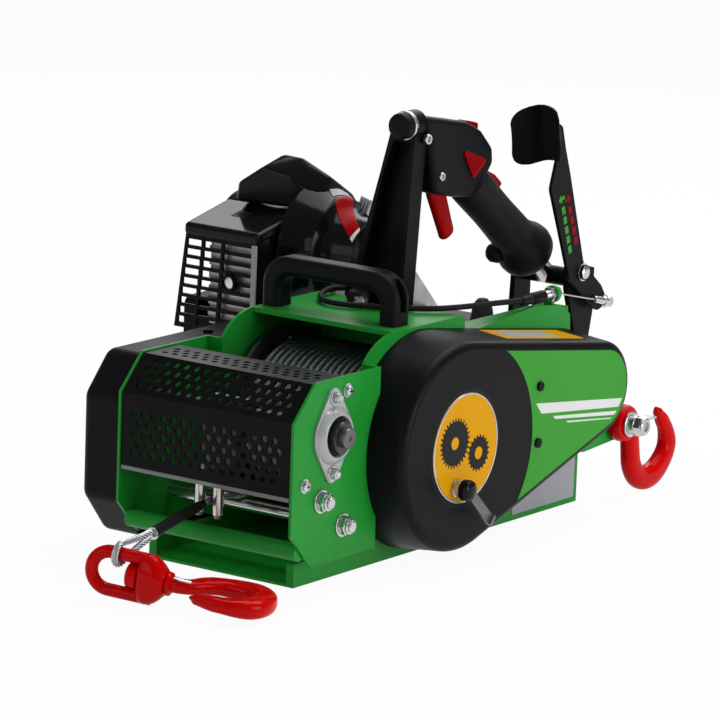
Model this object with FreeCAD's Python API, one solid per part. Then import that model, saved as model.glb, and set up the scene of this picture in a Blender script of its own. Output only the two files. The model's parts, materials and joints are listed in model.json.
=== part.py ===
import FreeCAD, Part
import math
import os

# Portable petrol drum winch, in millimetres.
# X runs along the drum axis (positive to the right), Y to the rear, Z up.
# The origin lies on the underside of the base, below the drum axis.

# Frame sheet metal
SHEET = 3.0
BOX_STEP = 18.5
FRONT_Y = -232.0
JOG_Y = -90.0
REAR_Y = 303.0
BASE_FRONT_Y = -200.0
BOX_TOP_Z = 208.0
BOX_BOTTOM_Z = 24.0
RETURN_W = 6.0
BOX_FACE_LOW_Z = 60.0
BOX_FACE_HIGH_Z = 172.0
BOX_CHAMFER = 34.0
DECK_Z = 233.0
DECK_FRONT_Y = -43.0
DECK_REAR_Y = 74.0
REAR_DECK_Z = 214.0
TRAY_Z = 188.0
STRIP_X = 60.0
REAR_WALL_Z = 150.0
LIP_DROP = 5.0

# Drum and rope
DRUM_Z = 118.0
CORE_R = 74.0
FLANGE_R = 92.0
FLANGE_T = 4.0
DRUM_SHAFT_R = 15.0
ROPE_D = 7.0
ROPE_PITCH = 7.8
ROPE_TURNS = 18
ROPE_SEAT = 0.05
ROPE_SIDE_GAP = 1.3
FLANGE_GAP = 7.5
ROD_CLEAR = 1.0

# Fits between moving pieces
RUN_FIT = 0.05
GAP = 0.3

# Chain drives: teeth and places outside the inner walls
DRIVE_OUT = 28.5
DRIVE_DRUM_TEETH = 42
DRIVE_JACK_TEETH = 17
WIND_OUT = 48.5
WIND_DRUM_TEETH = 15
WIND_SCREW_TEETH = 15
PRIMARY_OUT = 23.5
PRIMARY_JACK_TEETH = 23
PRIMARY_CLUTCH_TEETH = 12
CHAIN_PITCH = 12.7
SPROCKET_W = 6.0
TOOTH_H = 4.0
CHAIN_PLATE_T = 1.5
CHAIN_PLATE_H = 10.0
CHAIN_PIN_R = 2.2

# Jackshaft and crankshaft axes
JACK_Y = 255.0
JACK_Z = 138.0
JACK_R = 10.0
CRANK_Y = 168.0
CRANK_Z = 256.0
CRANK_R = 8.0

# Level wind
SCREW_Y = -170.0
SCREW_Z = 152.0
SCREW_SHAFT_R = 10.0
SCREW_R = 12.0
ROD_R = 6.0
UPPER_ROD_Y = -184.0
UPPER_ROD_Z = 88.0
LOWER_ROD_Y = -147.0
LOWER_ROD_Z = 58.0
ROD_NUT_R = 10.0
ROD_NUT_T = 8.0
WASHER_T = 2.0
ROPE_X = -15.0
ROLLER_R = 5.5
ROLLER_PIN_R = 3.0
ROLLER_SPREAD = 22.9
ROLLER_Y = -202.0
ROLLER_LOW_Z = 58.5
ROLLER_HIGH_Z = 91.5
NUT_HALF = 22.0
NUT_R = 20.0
TIE_R = 9.0
TIE_Y = -213.0
TIE_Z = 41.0
BEARING_T = 13.0
BEARING_R = 27.0
JACK_BEARING_R = 17.0
BEARING_EAR_R = 9.0
BEARING_BOLT_SPAN = 76.0
SHAFT_STUB = 20.0

# Perforated rope guard
GUARD_T = 2.0
GUARD_LOW_Z = 98.0
GUARD_REAR_Y = -144.0
GUARD_HOLE_R = 3.4
GUARD_COLUMN = 12.4
GUARD_ROW = 10.0

# Chain covers
COVER_DEPTH = 60.5
COVER_WALL = 3.0
COVER_ROOM = 27.0
COVER_TAIL_ROOM = 20.6
COVER_DRAFT = 6.0
COVER_EDGE_R = 9.0
LEFT_DEPTH = 68.5
LEFT_FACE_LOW_Z = 59.0
LEFT_FACE_HIGH_Z = 163.0
LEFT_CHAMFER = 35.0
LEFT_FRONT_Y = -227.0
LEFT_REAR_Y = 53.0
LEFT_TOP_Z = 203.0
LEFT_BOTTOM_Z = 16.0
LEFT_EDGE_R = 10.0
DISC_R = 56.0
DISC_T = 1.5
SPOOL_Y = -14.0
SPOOL_Z = 79.0
SPOOL_SHAFT_R = 6.0
SPOOL_ARM = 56.0
SPOOL_SLOPE = 43.0

# Carry handle
HANDLE_LEFT_X = -90.0
HANDLE_RIGHT_X = 78.0
HANDLE_FRONT_Y = -27.0
HANDLE_DEPTH = 28.0
HANDLE_RISE = 53.0
HANDLE_BAR = 20.0
HANDLE_FOOT = 22.0
HANDLE_ROUND = 7.0

# Throttle handle, its bracket and the start lever
GRIP_X = 20.0
TUBE_R = 11.0
TUBE_FRONT = (57.0, 420.6)
TUBE_BEND = (84.0, 419.5)
TUBE_REAR = (332.0, 231.5)
TUBE_BEND_R = 40.0
GRIP_R = 23.0
GRIP_START = 0.37
GRIP_END = 0.85
GRIP_FLARE_R = 31.0
GRIP_FLARE_T = 12.0
HOUSING_HALF = 18.0
BRACKET_FRONT_Y = 62.0
BRACKET_REAR_Y = 83.0
BRACKET_WALL = 4.0
BRACKET_TOP_Z = 412.0
LEVER_IN = 11.5
LEVER_T = 4.0
LEVER_PIVOT_Y = 308.0
LEVER_PIVOT_Z = 245.0
LEVER_PIVOT_R = 5.0
CABLE_IN = 3.5
CABLE_RISE = 17.0
CABLE_R = 3.0
WIRE_R = 0.9
CLAMP_BACK = 44.0
CLAMP_DROP = 37.0
BARREL_REAR_Y = 252.0
BARREL_FRONT_Y = 198.0
BARREL_R = 5.0
ARM_T = 6.0
ARM_GAP = 6.0
ARM_FOOT_LOW_Z = 52.0
ARM_FOOT_HIGH_Z = 112.0
LEFT_ARM_X = -14.0
CROSS_BAR_R = 10.0
TRIGGER_HALF = 7.0
TRIGGER_BACK = 34.0
TRIGGER_DROP = 63.5
BUTTON_HALF = 8.0
LOCK_HALF = 5.0
LOCK_BACK = 112.0
LOCK_DROP = 51.5
LOCK_HUB_R = 7.0
LOCK_SLOT_Y = (102.0, 162.0)
LOCK_SLOT_Z = (-85.0, -47.0)
STOP_DEPTH = 4.0
CONTROL_PROUD = 2.5

# Engine
CASE_DEPTH = 44.5
CASE_CLEAR = 4.5
CASE_WALL = 4.0
FAN_DEPTH = 32.0
FAN_R = 72.0
FAN_RIM_R = 56.0
FAN_STRAIGHT = 16.0
BLOCK_WIDTH = 70.0
CRANKCASE_R = 38.0
CRANKCASE_DROP = 20.0
CYLINDER_R = 20.0
CYLINDER_H = 60.0
FIN_R = 30.0
FLYWHEEL_R = 50.0
SHOE_R = 24.0
SHROUD_OVERHANG = 24.0
SHROUD_FRONT_Y = 68.0
SHROUD_REAR_Y = 142.0
SHROUD_FRONT_Z = 280.5
SHROUD_REAR_Z = 297.5
SHROUD_LOW_Z = 176.0
SHROUD_WALL = 3.0
GRILLE_SPREAD = 12.5
STARTER_DEPTH = 26.0
STARTER_GAP = 3.0
STARTER_R = 50.0
GUIDE_REACH = 60.0
TANK_OVERHANG = 42.0
TANK_FRONT = 76.0
TANK_REAR = 68.0
TANK_TOP_Z = 198.0
TANK_LOW_Z = 120.0
FILTER_BACK = 66.0
FILTER_DEPTH = 42.0
FILTER_DROP = 42.0
FILTER_RISE = 26.0
FILTER_GAP = 4.0
FILTER_ROUND = 6.0
THROAT_R = 14.0
THROAT_RISE = 4.0

# Anchor at the rear and the two hooks
ANCHOR_Y = 357.0
ANCHOR_Z = 79.0
ANCHOR_R = 8.0
HOOK_OUT = 20.5
HOOK_HALF = 8.6
EYE_R = 20.0
BOWL_REACH = 53.0
BOWL_DROP = 31.0
TIP_RISE = 5.0
TIP_RUN = 34.0
TIP_IN = 26.0
LATCH_HALF = 6.0
LATCH_END_GAP = 3.0
BOWL_R = 36.5
BOWL_BAR_R = 9.0
BOW_START = (-37.0, -367.0, 32.5)
BOW_HEADING = 17.5
BOW_DIP = 6.0
BOW_BAR_R = 6.5
BOW_HALF = 19.0
BOW_LENGTH = 84.0
SWIVEL_R = 8.0
EYE_AT = 34.0
FERRULE_REACH = 56.0
SLEEVE_R = 5.3
SLEEVE_FROM_ROLLERS = 28.0

V = FreeCAD.Vector
X_AXIS = V(1, 0, 0)
Y_AXIS = V(0, 1, 0)
Z_AXIS = V(0, 0, 1)

# Places worked out from the sizes above
ROPE_R = ROPE_D / 2
WIND_R = CORE_R + ROPE_R + ROPE_SEAT
DRUM_HALF = ROPE_TURNS * ROPE_PITCH / 2 + ROPE_R + ROPE_SIDE_GAP
INNER_X = DRUM_HALF + FLANGE_T + FLANGE_GAP + SHEET
BOX_X = INNER_X + BOX_STEP
DRIVE_X = INNER_X + DRIVE_OUT
WIND_X = -INNER_X - WIND_OUT
PRIMARY_X = -INNER_X - PRIMARY_OUT
SHAFT_END_X = BOX_X + SHAFT_STUB
COVER_FACE_X = INNER_X + COVER_DEPTH
LEFT_FACE_X = -INNER_X - LEFT_DEPTH
LEVER_X = INNER_X - LEVER_IN
CABLE_X = INNER_X - CABLE_IN
CABLE_Z = REAR_DECK_Z + CABLE_RISE
HANDLE_TOP_Z = DECK_Z + HANDLE_RISE
ARM_X = LEVER_X - ARM_GAP - ARM_T
CLAMP_Y = LEVER_PIVOT_Y + CLAMP_BACK
CLAMP_Z = LEVER_PIVOT_Z - CLAMP_DROP
CASE_LEFT_X = -INNER_X - CASE_DEPTH
FAN_LEFT_X = CASE_LEFT_X - FAN_DEPTH
BLOCK_LEFT_X = FAN_LEFT_X - BLOCK_WIDTH
BLOCK_MID_X = FAN_LEFT_X - BLOCK_WIDTH / 2
SHROUD_LEFT_X = BLOCK_LEFT_X - SHROUD_OVERHANG
STARTER_LEFT_X = BLOCK_LEFT_X - STARTER_DEPTH
TANK_LEFT_X = BLOCK_LEFT_X - TANK_OVERHANG
TANK_REAR_Y = CRANK_Y + TANK_REAR
TANK_MID_Z = (TANK_TOP_Z + TANK_LOW_Z) / 2
HOOK_X = INNER_X + HOOK_OUT
LUG_X = HOOK_X - BOWL_BAR_R - GAP
BOWL_Y = ANCHOR_Y + BOWL_REACH
BOWL_Z = ANCHOR_Z - BOWL_DROP
TIP_LOW_Z = BOWL_Z + TIP_RISE


def box(x0, x1, y0, y1, z0, z1):
    return Part.makeBox(x1 - x0, y1 - y0, z1 - z0, V(x0, y0, z0))


def rod_x(x0, x1, y, z, r):
    return Part.makeCylinder(r, x1 - x0, V(x0, y, z), X_AXIS)


def rod_between(a, b, r):
    return Part.makeCylinder(r, (b - a).Length, a, b - a)


def hex_x(x0, x1, y, z, r):
    """Hexagon bar along X, r across its corners."""
    angles = [i * math.pi / 3 for i in range(7)]
    corners = [V(x0, y + r * math.cos(angle), z + r * math.sin(angle)) for angle in angles]
    return Part.Face(Part.makePolygon(corners)).extrude(V(x1 - x0, 0, 0))


def corner_arc(before, corner, after, radius):
    """Tangent points and arc that round one corner of a path."""
    a = (before - corner).normalize()
    b = (after - corner).normalize()
    half = a.getAngle(b) / 2
    reach = radius / math.tan(half)
    start = corner + a * reach
    end = corner + b * reach
    middle = (a + b).normalize()
    top = corner + middle * (radius / math.sin(half) - radius)
    return start, top, end


def path_wire(points, radii):
    """Open path of straight runs joined by tangent arcs."""
    edges = []
    here = points[0]
    for i in range(1, len(points) - 1):
        start, top, end = corner_arc(points[i - 1], points[i], points[i + 1], radii[i - 1])
        edges.append(Part.makeLine(here, start))
        edges.append(Part.Arc(start, top, end).toShape())
        here = end
    edges.append(Part.makeLine(here, points[-1]))
    return Part.Wire(edges)


def cord_radii(points):
    """Arc radii as large as the two runs at each corner allow."""
    radii = []
    for a, b, c in zip(points, points[1:], points[2:]):
        turn = (b - a).getAngle(c - b)
        run = min((b - a).Length, (c - b).Length)
        radii.append(0.45 * run / math.tan(turn / 2))
    return radii


def pipe(wire, r):
    """Round bar along a wire."""
    edge = wire.OrderedEdges[0]
    start = edge.valueAt(edge.FirstParameter)
    tangent = edge.tangentAt(edge.FirstParameter)
    ring = Part.Wire(Part.makeCircle(r, start, tangent))
    solid = Part.Solid(wire.makePipeShell([ring], True, False))
    if solid.Volume < 0:
        solid.reverse()
    return solid


def round_end(bar, point, r):
    """Bar with its end at a point rounded over."""
    rim = [edge for edge in bar.Edges
           if isinstance(edge.Curve, Part.Circle) and (edge.Curve.Center - point).Length < 1e-6]
    return bar.makeFillet(0.9 * r, rim[:1])


def rounded_face(points, radii):
    """Closed outline with its corners rounded, as a face."""
    count = len(points)
    edges = []
    arcs = []
    for i in range(count):
        if radii[i] > 0:
            arcs.append(corner_arc(points[i - 1], points[i], points[(i + 1) % count], radii[i]))
        else:
            arcs.append((points[i], None, points[i]))
    for i in range(count):
        start, top, end = arcs[i]
        if top is not None:
            edges.append(Part.Arc(start, top, end).toShape())
        follow = arcs[(i + 1) % count][0]
        if (follow - end).Length > 1e-6:
            edges.append(Part.makeLine(end, follow))
    return Part.Face(Part.Wire(edges))


def outline_x(outline, x0, x1, radius=0.0):
    """Plate with a YZ outline, between two places along X."""
    points = [V(x0, y, z) for y, z in outline]
    radii = [radius] * len(points)
    return rounded_face(points, radii).extrude(V(x1 - x0, 0, 0))


def outline_y(outline, y0, y1, radius=0.0):
    """Plate with an XZ outline, between two places along Y."""
    points = [V(x, y0, z) for x, z in outline]
    radii = [radius] * len(points)
    return rounded_face(points, radii).extrude(V(0, y1 - y0, 0))


def hull_wire(x, first, second):
    """Outline round two circles (y, z, r) in the plane at x."""
    y0, z0, r0 = first
    y1, z1, r1 = second
    along = math.atan2(z1 - z0, y1 - y0)
    spread = math.acos((r0 - r1) / math.hypot(y1 - y0, z1 - z0))

    def at(circle, angle):
        y, z, r = circle
        return V(x, y + r * math.cos(angle), z + r * math.sin(angle))

    upper = along + spread
    lower = along - spread
    edges = [
        Part.Arc(at(first, upper), at(first, along + math.pi), at(first, lower)).toShape(),
        Part.makeLine(at(first, lower), at(second, lower)),
        Part.Arc(at(second, lower), at(second, along), at(second, upper)).toShape(),
        Part.makeLine(at(second, upper), at(first, upper)),
    ]
    return Part.Wire(edges)


def hull_x(x0, x1, first, second):
    return Part.Face(hull_wire(x0, first, second)).extrude(V(x1 - x0, 0, 0))


def pitch_radius(teeth):
    return CHAIN_PITCH * teeth / (2 * math.pi)


def sprocket(x0, y, z, teeth):
    """Toothed wheel; its flanks lean like those of a roller chain wheel."""
    step = 2 * math.pi / teeth
    pitch_r = pitch_radius(teeth)
    corners = []
    for i in range(teeth):
        for share, r in ((-0.3, -TOOTH_H), (-0.12, TOOTH_H), (0.12, TOOTH_H), (0.3, -TOOTH_H)):
            angle = (i + share) * step
            radius = pitch_r + r
            corners.append(V(x0, y + radius * math.cos(angle), z + radius * math.sin(angle)))
    corners.append(corners[0])
    return Part.Face(Part.makePolygon(corners)).extrude(V(SPROCKET_W, 0, 0))


def chain(x0, *wheels):
    """Chain loop round two wheels (y, z, teeth): side plates, with pins on the straight runs."""
    pieces = []
    first, second = [(y, z, pitch_radius(teeth)) for y, z, teeth in wheels]
    half = CHAIN_PLATE_H / 2
    outer = [(y, z, r + half) for y, z, r in (first, second)]
    inner = [(y, z, r - half) for y, z, r in (first, second)]
    for side in (x0 - GAP - CHAIN_PLATE_T, x0 + SPROCKET_W + GAP):
        band = hull_x(side, side + CHAIN_PLATE_T, *outer)
        pieces.append(band.cut(hull_x(side - 1, side + CHAIN_PLATE_T + 1, *inner)))
    tip = TOOTH_H + CHAIN_PIN_R + GAP
    widest = max(first[2], second[2])
    clear = math.sqrt((widest + tip) ** 2 - widest ** 2)
    pin_x0 = x0 - GAP - CHAIN_PLATE_T
    pin_x1 = x0 + SPROCKET_W + GAP + CHAIN_PLATE_T
    for edge in hull_wire(x0, first, second).Edges:
        if not isinstance(edge.Curve, Part.Line):
            continue
        start = edge.valueAt(edge.FirstParameter)
        end = edge.valueAt(edge.LastParameter)
        count = int((edge.Length - 2 * clear) / CHAIN_PITCH)
        spare = (edge.Length - count * CHAIN_PITCH) / 2
        for i in range(count + 1):
            point = start + (end - start) * ((spare + i * CHAIN_PITCH) / edge.Length)
            pieces.append(rod_x(pin_x0, pin_x1, point.y, point.z, CHAIN_PIN_R))
    return pieces[0].multiFuse(pieces[1:])


def fuse(pieces):
    return pieces[0].multiFuse(pieces[1:]).removeSplitter()


def cut(shape, tools):
    for tool in tools:
        shape = shape.cut(tool)
    return shape


def turned(shape, axis_point, axis, degrees):
    copy = shape.copy()
    copy.rotate(axis_point, axis, degrees)
    return copy


def mirrored_x(shape):
    return shape.mirror(V(0, 0, 0), X_AXIS)


def shaft_holes(x0, x1):
    """Holes for the drum shaft and the jackshaft through an inner plate."""
    return [
        rod_x(x0, x1, 0, DRUM_Z, DRUM_SHAFT_R + 1),
        rod_x(x0, x1, JACK_Y, JACK_Z, JACK_R + 1),
    ]


def rod_places():
    return ((UPPER_ROD_Y, UPPER_ROD_Z), (LOWER_ROD_Y, LOWER_ROD_Z))


# Frame
def side_plate(rear_edge):
    """Right side plate: front box wall, inward jog and inner wall, with a given top edge at the rear."""
    wall_x = BOX_X - SHEET
    inner_face = INNER_X - SHEET
    front = outline_x([
        (FRONT_Y, BOX_FACE_LOW_Z),
        (FRONT_Y, BOX_FACE_HIGH_Z),
        (FRONT_Y + BOX_CHAMFER, BOX_TOP_Z),
        (JOG_Y, BOX_TOP_Z),
        (JOG_Y, BOX_BOTTOM_Z),
        (FRONT_Y + BOX_CHAMFER, BOX_BOTTOM_Z),
    ], wall_x, BOX_X)
    jog = box(inner_face, BOX_X, JOG_Y - SHEET, JOG_Y, BOX_BOTTOM_Z, BOX_TOP_Z)
    shoulder = Part.Arc(
        V(inner_face, JOG_Y - SHEET, BOX_TOP_Z),
        V(inner_face, JOG_Y + 18, DECK_Z - 8),
        V(inner_face, DECK_FRONT_Y, DECK_Z),
    ).toShape()
    rest = [
        (DECK_FRONT_Y, DECK_Z),
        (DECK_REAR_Y, DECK_Z),
        (DECK_REAR_Y + 6, DECK_Z - 2),
        *rear_edge,
        (REAR_Y - 23, REAR_WALL_Z),
        (REAR_Y, REAR_WALL_Z - 30),
        (REAR_Y, 0),
        (BASE_FRONT_Y, 0),
        (BASE_FRONT_Y, BOX_BOTTOM_Z),
        (JOG_Y - SHEET, BOX_BOTTOM_Z),
        (JOG_Y - SHEET, BOX_TOP_Z),
    ]
    edge = Part.makePolygon([V(inner_face, y, z) for y, z in rest])
    inner = Part.Face(Part.Wire([shoulder] + edge.Edges)).extrude(V(SHEET, 0, 0))
    plate = fuse([front, jog, inner])
    holes = shaft_holes(inner_face - 1, BOX_X + 1)
    holes.append(rod_x(wall_x - 1, BOX_X + 1, SCREW_Y, SCREW_Z, SCREW_R + 2))
    for y, z in rod_places():
        holes.append(rod_x(wall_x - 1, BOX_X + 1, y, z, ROD_R + RUN_FIT))
    return cut(plate, holes)


def right_side_plate():
    """Right plate with the thick lug that holds the anchor bolt."""
    inner_face = INNER_X - SHEET
    lug = outline_x([
        (REAR_Y - 18, ANCHOR_Z - 24),
        (REAR_Y - 18, ANCHOR_Z + 24),
        (ANCHOR_Y + 18, ANCHOR_Z + 18),
        (ANCHOR_Y + 18, ANCHOR_Z - 18),
    ], inner_face, LUG_X, 12)
    notch = hull_x(INNER_X, LUG_X + 1, *cover_base())
    lug = cut(lug, [notch])
    rear_edge = [
        (DECK_REAR_Y + 8, REAR_DECK_Z),
        (DECK_REAR_Y + 16, REAR_DECK_Z),
        (REAR_Y - 93, REAR_DECK_Z + 10),
        (REAR_Y - 45, REAR_DECK_Z + 4),
        (REAR_Y - 27, REAR_DECK_Z - 8),
    ]
    plate = fuse([side_plate(rear_edge), lug])
    return cut(plate, [rod_x(inner_face - 1, LUG_X + 1, ANCHOR_Y, ANCHOR_Z, ANCHOR_R + RUN_FIT)])


def left_side_plate():
    """Left plate, lower behind the deck."""
    return mirrored_x(side_plate([(DECK_REAR_Y + 8, TRAY_Z), (REAR_Y - 27, TRAY_Z)]))


def base_pan():
    """Base between the side plates, with a rear upstand and narrow returns beside the open front."""
    half = INNER_X - SHEET
    floor = box(-half, half, BASE_FRONT_Y, REAR_Y, 0, SHEET)
    right = box(half - RETURN_W, half, BASE_FRONT_Y, BASE_FRONT_Y + SHEET, 0, BOX_BOTTOM_Z)
    rear = box(-half, half, REAR_Y - SHEET, REAR_Y, 0, REAR_WALL_Z - 30)
    return fuse([floor, right, mirrored_x(right), rear])


def folded_sheet(rear_z, low_x, high_x):
    """Deck sheet bent along its length, with a given height behind the drum."""
    line = [
        (DECK_FRONT_Y, DECK_Z - LIP_DROP),
        (DECK_FRONT_Y, DECK_Z),
        (DECK_REAR_Y, DECK_Z),
        (DECK_REAR_Y + 8, rear_z),
        (REAR_Y - 27, rear_z),
        (REAR_Y - 23, REAR_WALL_Z),
        (REAR_Y, REAR_WALL_Z - 30),
    ]
    under = [
        (REAR_Y - SHEET, REAR_WALL_Z - 30),
        (REAR_Y - 23 - SHEET, REAR_WALL_Z - 1),
        (REAR_Y - 27 - SHEET, rear_z - SHEET),
        (DECK_REAR_Y + 8 - SHEET, rear_z - SHEET),
        (DECK_REAR_Y - SHEET, DECK_Z - SHEET),
        (DECK_FRONT_Y + SHEET, DECK_Z - SHEET),
        (DECK_FRONT_Y + SHEET, DECK_Z - LIP_DROP),
    ]
    return outline_x(line + under, low_x, high_x)


def top_deck():
    """Folded deck over the drum, with a raised strip on the right, a low tray behind and the cable tab."""
    half = INNER_X - SHEET
    strip = folded_sheet(REAR_DECK_Z, STRIP_X - SHEET, half)
    tray = folded_sheet(TRAY_Z, -half, STRIP_X)
    riser = box(STRIP_X - SHEET, STRIP_X, DECK_REAR_Y + 8 - SHEET, REAR_Y - 27, TRAY_Z - SHEET, REAR_DECK_Z)
    tab_y = BARREL_REAR_Y - 8
    foot = box(CABLE_X - 9, half, tab_y, tab_y + 5, REAR_DECK_Z, CABLE_Z)
    head = Part.makeCylinder(9, 5, V(CABLE_X, tab_y, CABLE_Z), Y_AXIS)
    above_plate = box(half, CABLE_X + 9, tab_y, tab_y + 5, 0, REAR_DECK_Z + 8)
    hole = Part.makeCylinder(BARREL_R + RUN_FIT, 7, V(CABLE_X, tab_y - 1, CABLE_Z), Y_AXIS)
    tab = cut(fuse([foot, head]), [above_plate, hole])
    return fuse([strip, tray, riser, tab])


def front_tie_bar():
    wall = BOX_X - SHEET
    return rod_x(-wall, wall, TIE_Y, TIE_Z, TIE_R)


def rope_guard():
    """Perforated folded sheet over the level wind."""
    half = BOX_X - SHEET - GAP
    front = FRONT_Y + 1.5
    top = BOX_TOP_Z - 1.5
    fold = front + BOX_CHAMFER - 2
    sheet = outline_x([
        (GUARD_REAR_Y, top),
        (fold, top),
        (front, BOX_FACE_HIGH_Z),
        (front, GUARD_LOW_Z),
        (front + GUARD_T, GUARD_LOW_Z),
        (front + GUARD_T, BOX_FACE_HIGH_Z - 0.8),
        (fold + 0.9, top - GUARD_T),
        (GUARD_REAR_Y, top - GUARD_T),
    ], -half, half)
    slope = V(0, fold - front, top - BOX_FACE_HIGH_Z)
    panels = (
        (V(0, fold, top), V(0, GUARD_REAR_Y - fold, 0), 16, 3),
        (V(0, front, BOX_FACE_HIGH_Z), slope, 10, 4),
        (V(0, front, GUARD_LOW_Z), V(0, 0, BOX_FACE_HIGH_Z - GUARD_LOW_Z), 14, 5),
    )
    drills = []
    for corner, rise, margin, rows in panels:
        up = V(rise).normalize()
        normal = up.cross(X_AXIS)
        for row in range(rows):
            shift = 0.25 if row % 2 else -0.25
            for column in range(-7, 8):
                spot = corner + up * (margin + row * GUARD_ROW) + X_AXIS * ((column + shift) * GUARD_COLUMN)
                drills.append(Part.makeCylinder(GUARD_HOLE_R, 10, spot - normal * 5, normal))
    return sheet.cut(Part.makeCompound(drills))


def guide_rods():
    end = BOX_X + ROD_NUT_T + WASHER_T + 3
    return Part.makeCompound([rod_x(-end, end, y, z, ROD_R) for y, z in rod_places()])


def flange_housing(x0, y, z, bore, r):
    """Two-bolt bearing housing whose back lies on a plate at x0."""
    span = BEARING_BOLT_SPAN / 2
    mid = (y, z, r)
    up = hull_x(x0, x0 + 6, mid, (y, z + span, BEARING_EAR_R))
    down = hull_x(x0, x0 + 6, mid, (y, z - span, BEARING_EAR_R))
    collar = rod_x(x0, x0 + BEARING_T, y, z, r - 2)
    return cut(fuse([up, down, collar]), [rod_x(x0 - 1, x0 + BEARING_T + 1, y, z, bore + RUN_FIT)])


def flange_bearings():
    screw = flange_housing(BOX_X, SCREW_Y, SCREW_Z, SCREW_SHAFT_R, BEARING_R)
    drum = flange_housing(INNER_X, 0, DRUM_Z, DRUM_SHAFT_R, BEARING_R)
    jack = flange_housing(INNER_X - SHEET - BEARING_T, JACK_Y, JACK_Z, JACK_R, JACK_BEARING_R)
    jack = turned(jack, V(INNER_X - SHEET - BEARING_T / 2, JACK_Y, JACK_Z), Z_AXIS, 180)
    right = [screw, drum, jack]
    return Part.makeCompound(right + [mirrored_x(piece) for piece in right])


def frame_fasteners():
    """Bright nuts, washers and bolt heads on both sides of the frame."""
    solids = []
    for y, z in rod_places():
        washer = rod_x(BOX_X, BOX_X + WASHER_T, y, z, ROD_NUT_R + 2)
        nut = hex_x(BOX_X + WASHER_T, BOX_X + WASHER_T + ROD_NUT_T, y, z, ROD_NUT_R)
        bore = rod_x(BOX_X - 1, BOX_X + 20, y, z, ROD_R + RUN_FIT)
        solids.append(washer.cut(bore))
        solids.append(nut.cut(bore))
    for side in (-1, 1):
        z = SCREW_Z + side * BEARING_BOLT_SPAN / 2
        solids.append(hex_x(BOX_X + 6, BOX_X + 11, SCREW_Y, z, 6.5))
    for y, z in ((FRONT_Y + 20, GUARD_LOW_Z + 10), (GUARD_REAR_Y - 2, BOX_TOP_Z - 15)):
        solids.append(rod_x(BOX_X, BOX_X + 5, y, z, 6))
    return Part.makeCompound(solids + [mirrored_x(solid) for solid in solids])


# Covers and chains
def cover_base():
    big = pitch_radius(DRIVE_DRUM_TEETH) + COVER_ROOM
    tail = pitch_radius(DRIVE_JACK_TEETH) + COVER_TAIL_ROOM
    return (0, DRUM_Z, big), (JACK_Y, JACK_Z, tail)


def cover_form(inset, x0, x1):
    """Drafted body of the right cover, inset by a wall."""
    base = [(y, z, r - inset) for y, z, r in cover_base()]
    face = [(y, z, r - COVER_DRAFT) for y, z, r in base]
    return Part.makeLoft([hull_wire(x0, *base), hull_wire(x1, *face)], True, True)


def right_chain_cover():
    body = cover_form(0, INNER_X, COVER_FACE_X)
    rim = [edge for edge in body.Edges if abs(edge.BoundBox.XMin - COVER_FACE_X) < 1e-6]
    body = body.makeFillet(COVER_EDGE_R, rim)
    hollow = cover_form(COVER_WALL, INNER_X - 1, COVER_FACE_X - COVER_WALL)
    box_room = box(INNER_X - 1, BOX_X + GAP, -400, JOG_Y + GAP, -10, 400)
    lever = rod_x(COVER_FACE_X - 10, COVER_FACE_X + 5, SPOOL_Y, SPOOL_Z, SPOOL_SHAFT_R + RUN_FIT)
    return cut(body, [hollow, box_room, lever])


def cover_disc():
    disc = rod_x(COVER_FACE_X, COVER_FACE_X + DISC_T, 0, DRUM_Z, DISC_R)
    return disc.cut(rod_x(COVER_FACE_X - 1, COVER_FACE_X + 5, SPOOL_Y, SPOOL_Z, SPOOL_SHAFT_R + 1))


def left_outline(inset):
    return [
        (LEFT_FRONT_Y + inset, LEFT_FACE_LOW_Z),
        (LEFT_FRONT_Y + inset, LEFT_FACE_HIGH_Z),
        (LEFT_FRONT_Y + LEFT_CHAMFER + inset * 0.4, LEFT_TOP_Z - inset),
        (LEFT_REAR_Y - inset, LEFT_TOP_Z - inset),
        (LEFT_REAR_Y - inset, LEFT_BOTTOM_Z + inset),
        (LEFT_FRONT_Y + LEFT_CHAMFER + inset * 0.4, LEFT_BOTTOM_Z + inset),
    ]


def left_chain_cover():
    body = outline_x(left_outline(0), LEFT_FACE_X, -INNER_X, 16)
    rim = [edge for edge in body.Edges if abs(edge.BoundBox.XMax - LEFT_FACE_X) < 1e-6]
    body = body.makeFillet(LEFT_EDGE_R, rim)
    hollow = outline_x(left_outline(COVER_WALL), LEFT_FACE_X + COVER_WALL, -INNER_X + 1, 13)
    box_room = box(-BOX_X, -INNER_X + 1, -400, JOG_Y + GAP, -10, 400)
    return cut(body, [hollow, box_room])


def cover_screws():
    """Black screws of the two covers."""
    solids = []
    for z in (101.5, 160.5):
        solids.append(rod_x(COVER_FACE_X, COVER_FACE_X + 3, 131, z, 5))
    spot = V((LEFT_FACE_X - BOX_X) / 2 + 3, -60, LEFT_TOP_Z)
    solids.append(Part.makeCylinder(5, 3, spot))
    return Part.makeCompound(solids)


def drive_chain():
    return chain(DRIVE_X, (0, DRUM_Z, DRIVE_DRUM_TEETH), (JACK_Y, JACK_Z, DRIVE_JACK_TEETH))


def level_wind_chain():
    return chain(WIND_X, (SCREW_Y, SCREW_Z, WIND_SCREW_TEETH), (0, DRUM_Z, WIND_DRUM_TEETH))


def primary_chain():
    jack = (JACK_Y, JACK_Z, PRIMARY_JACK_TEETH)
    clutch = (CRANK_Y, CRANK_Z, PRIMARY_CLUTCH_TEETH)
    return chain(PRIMARY_X, jack, clutch)


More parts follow.
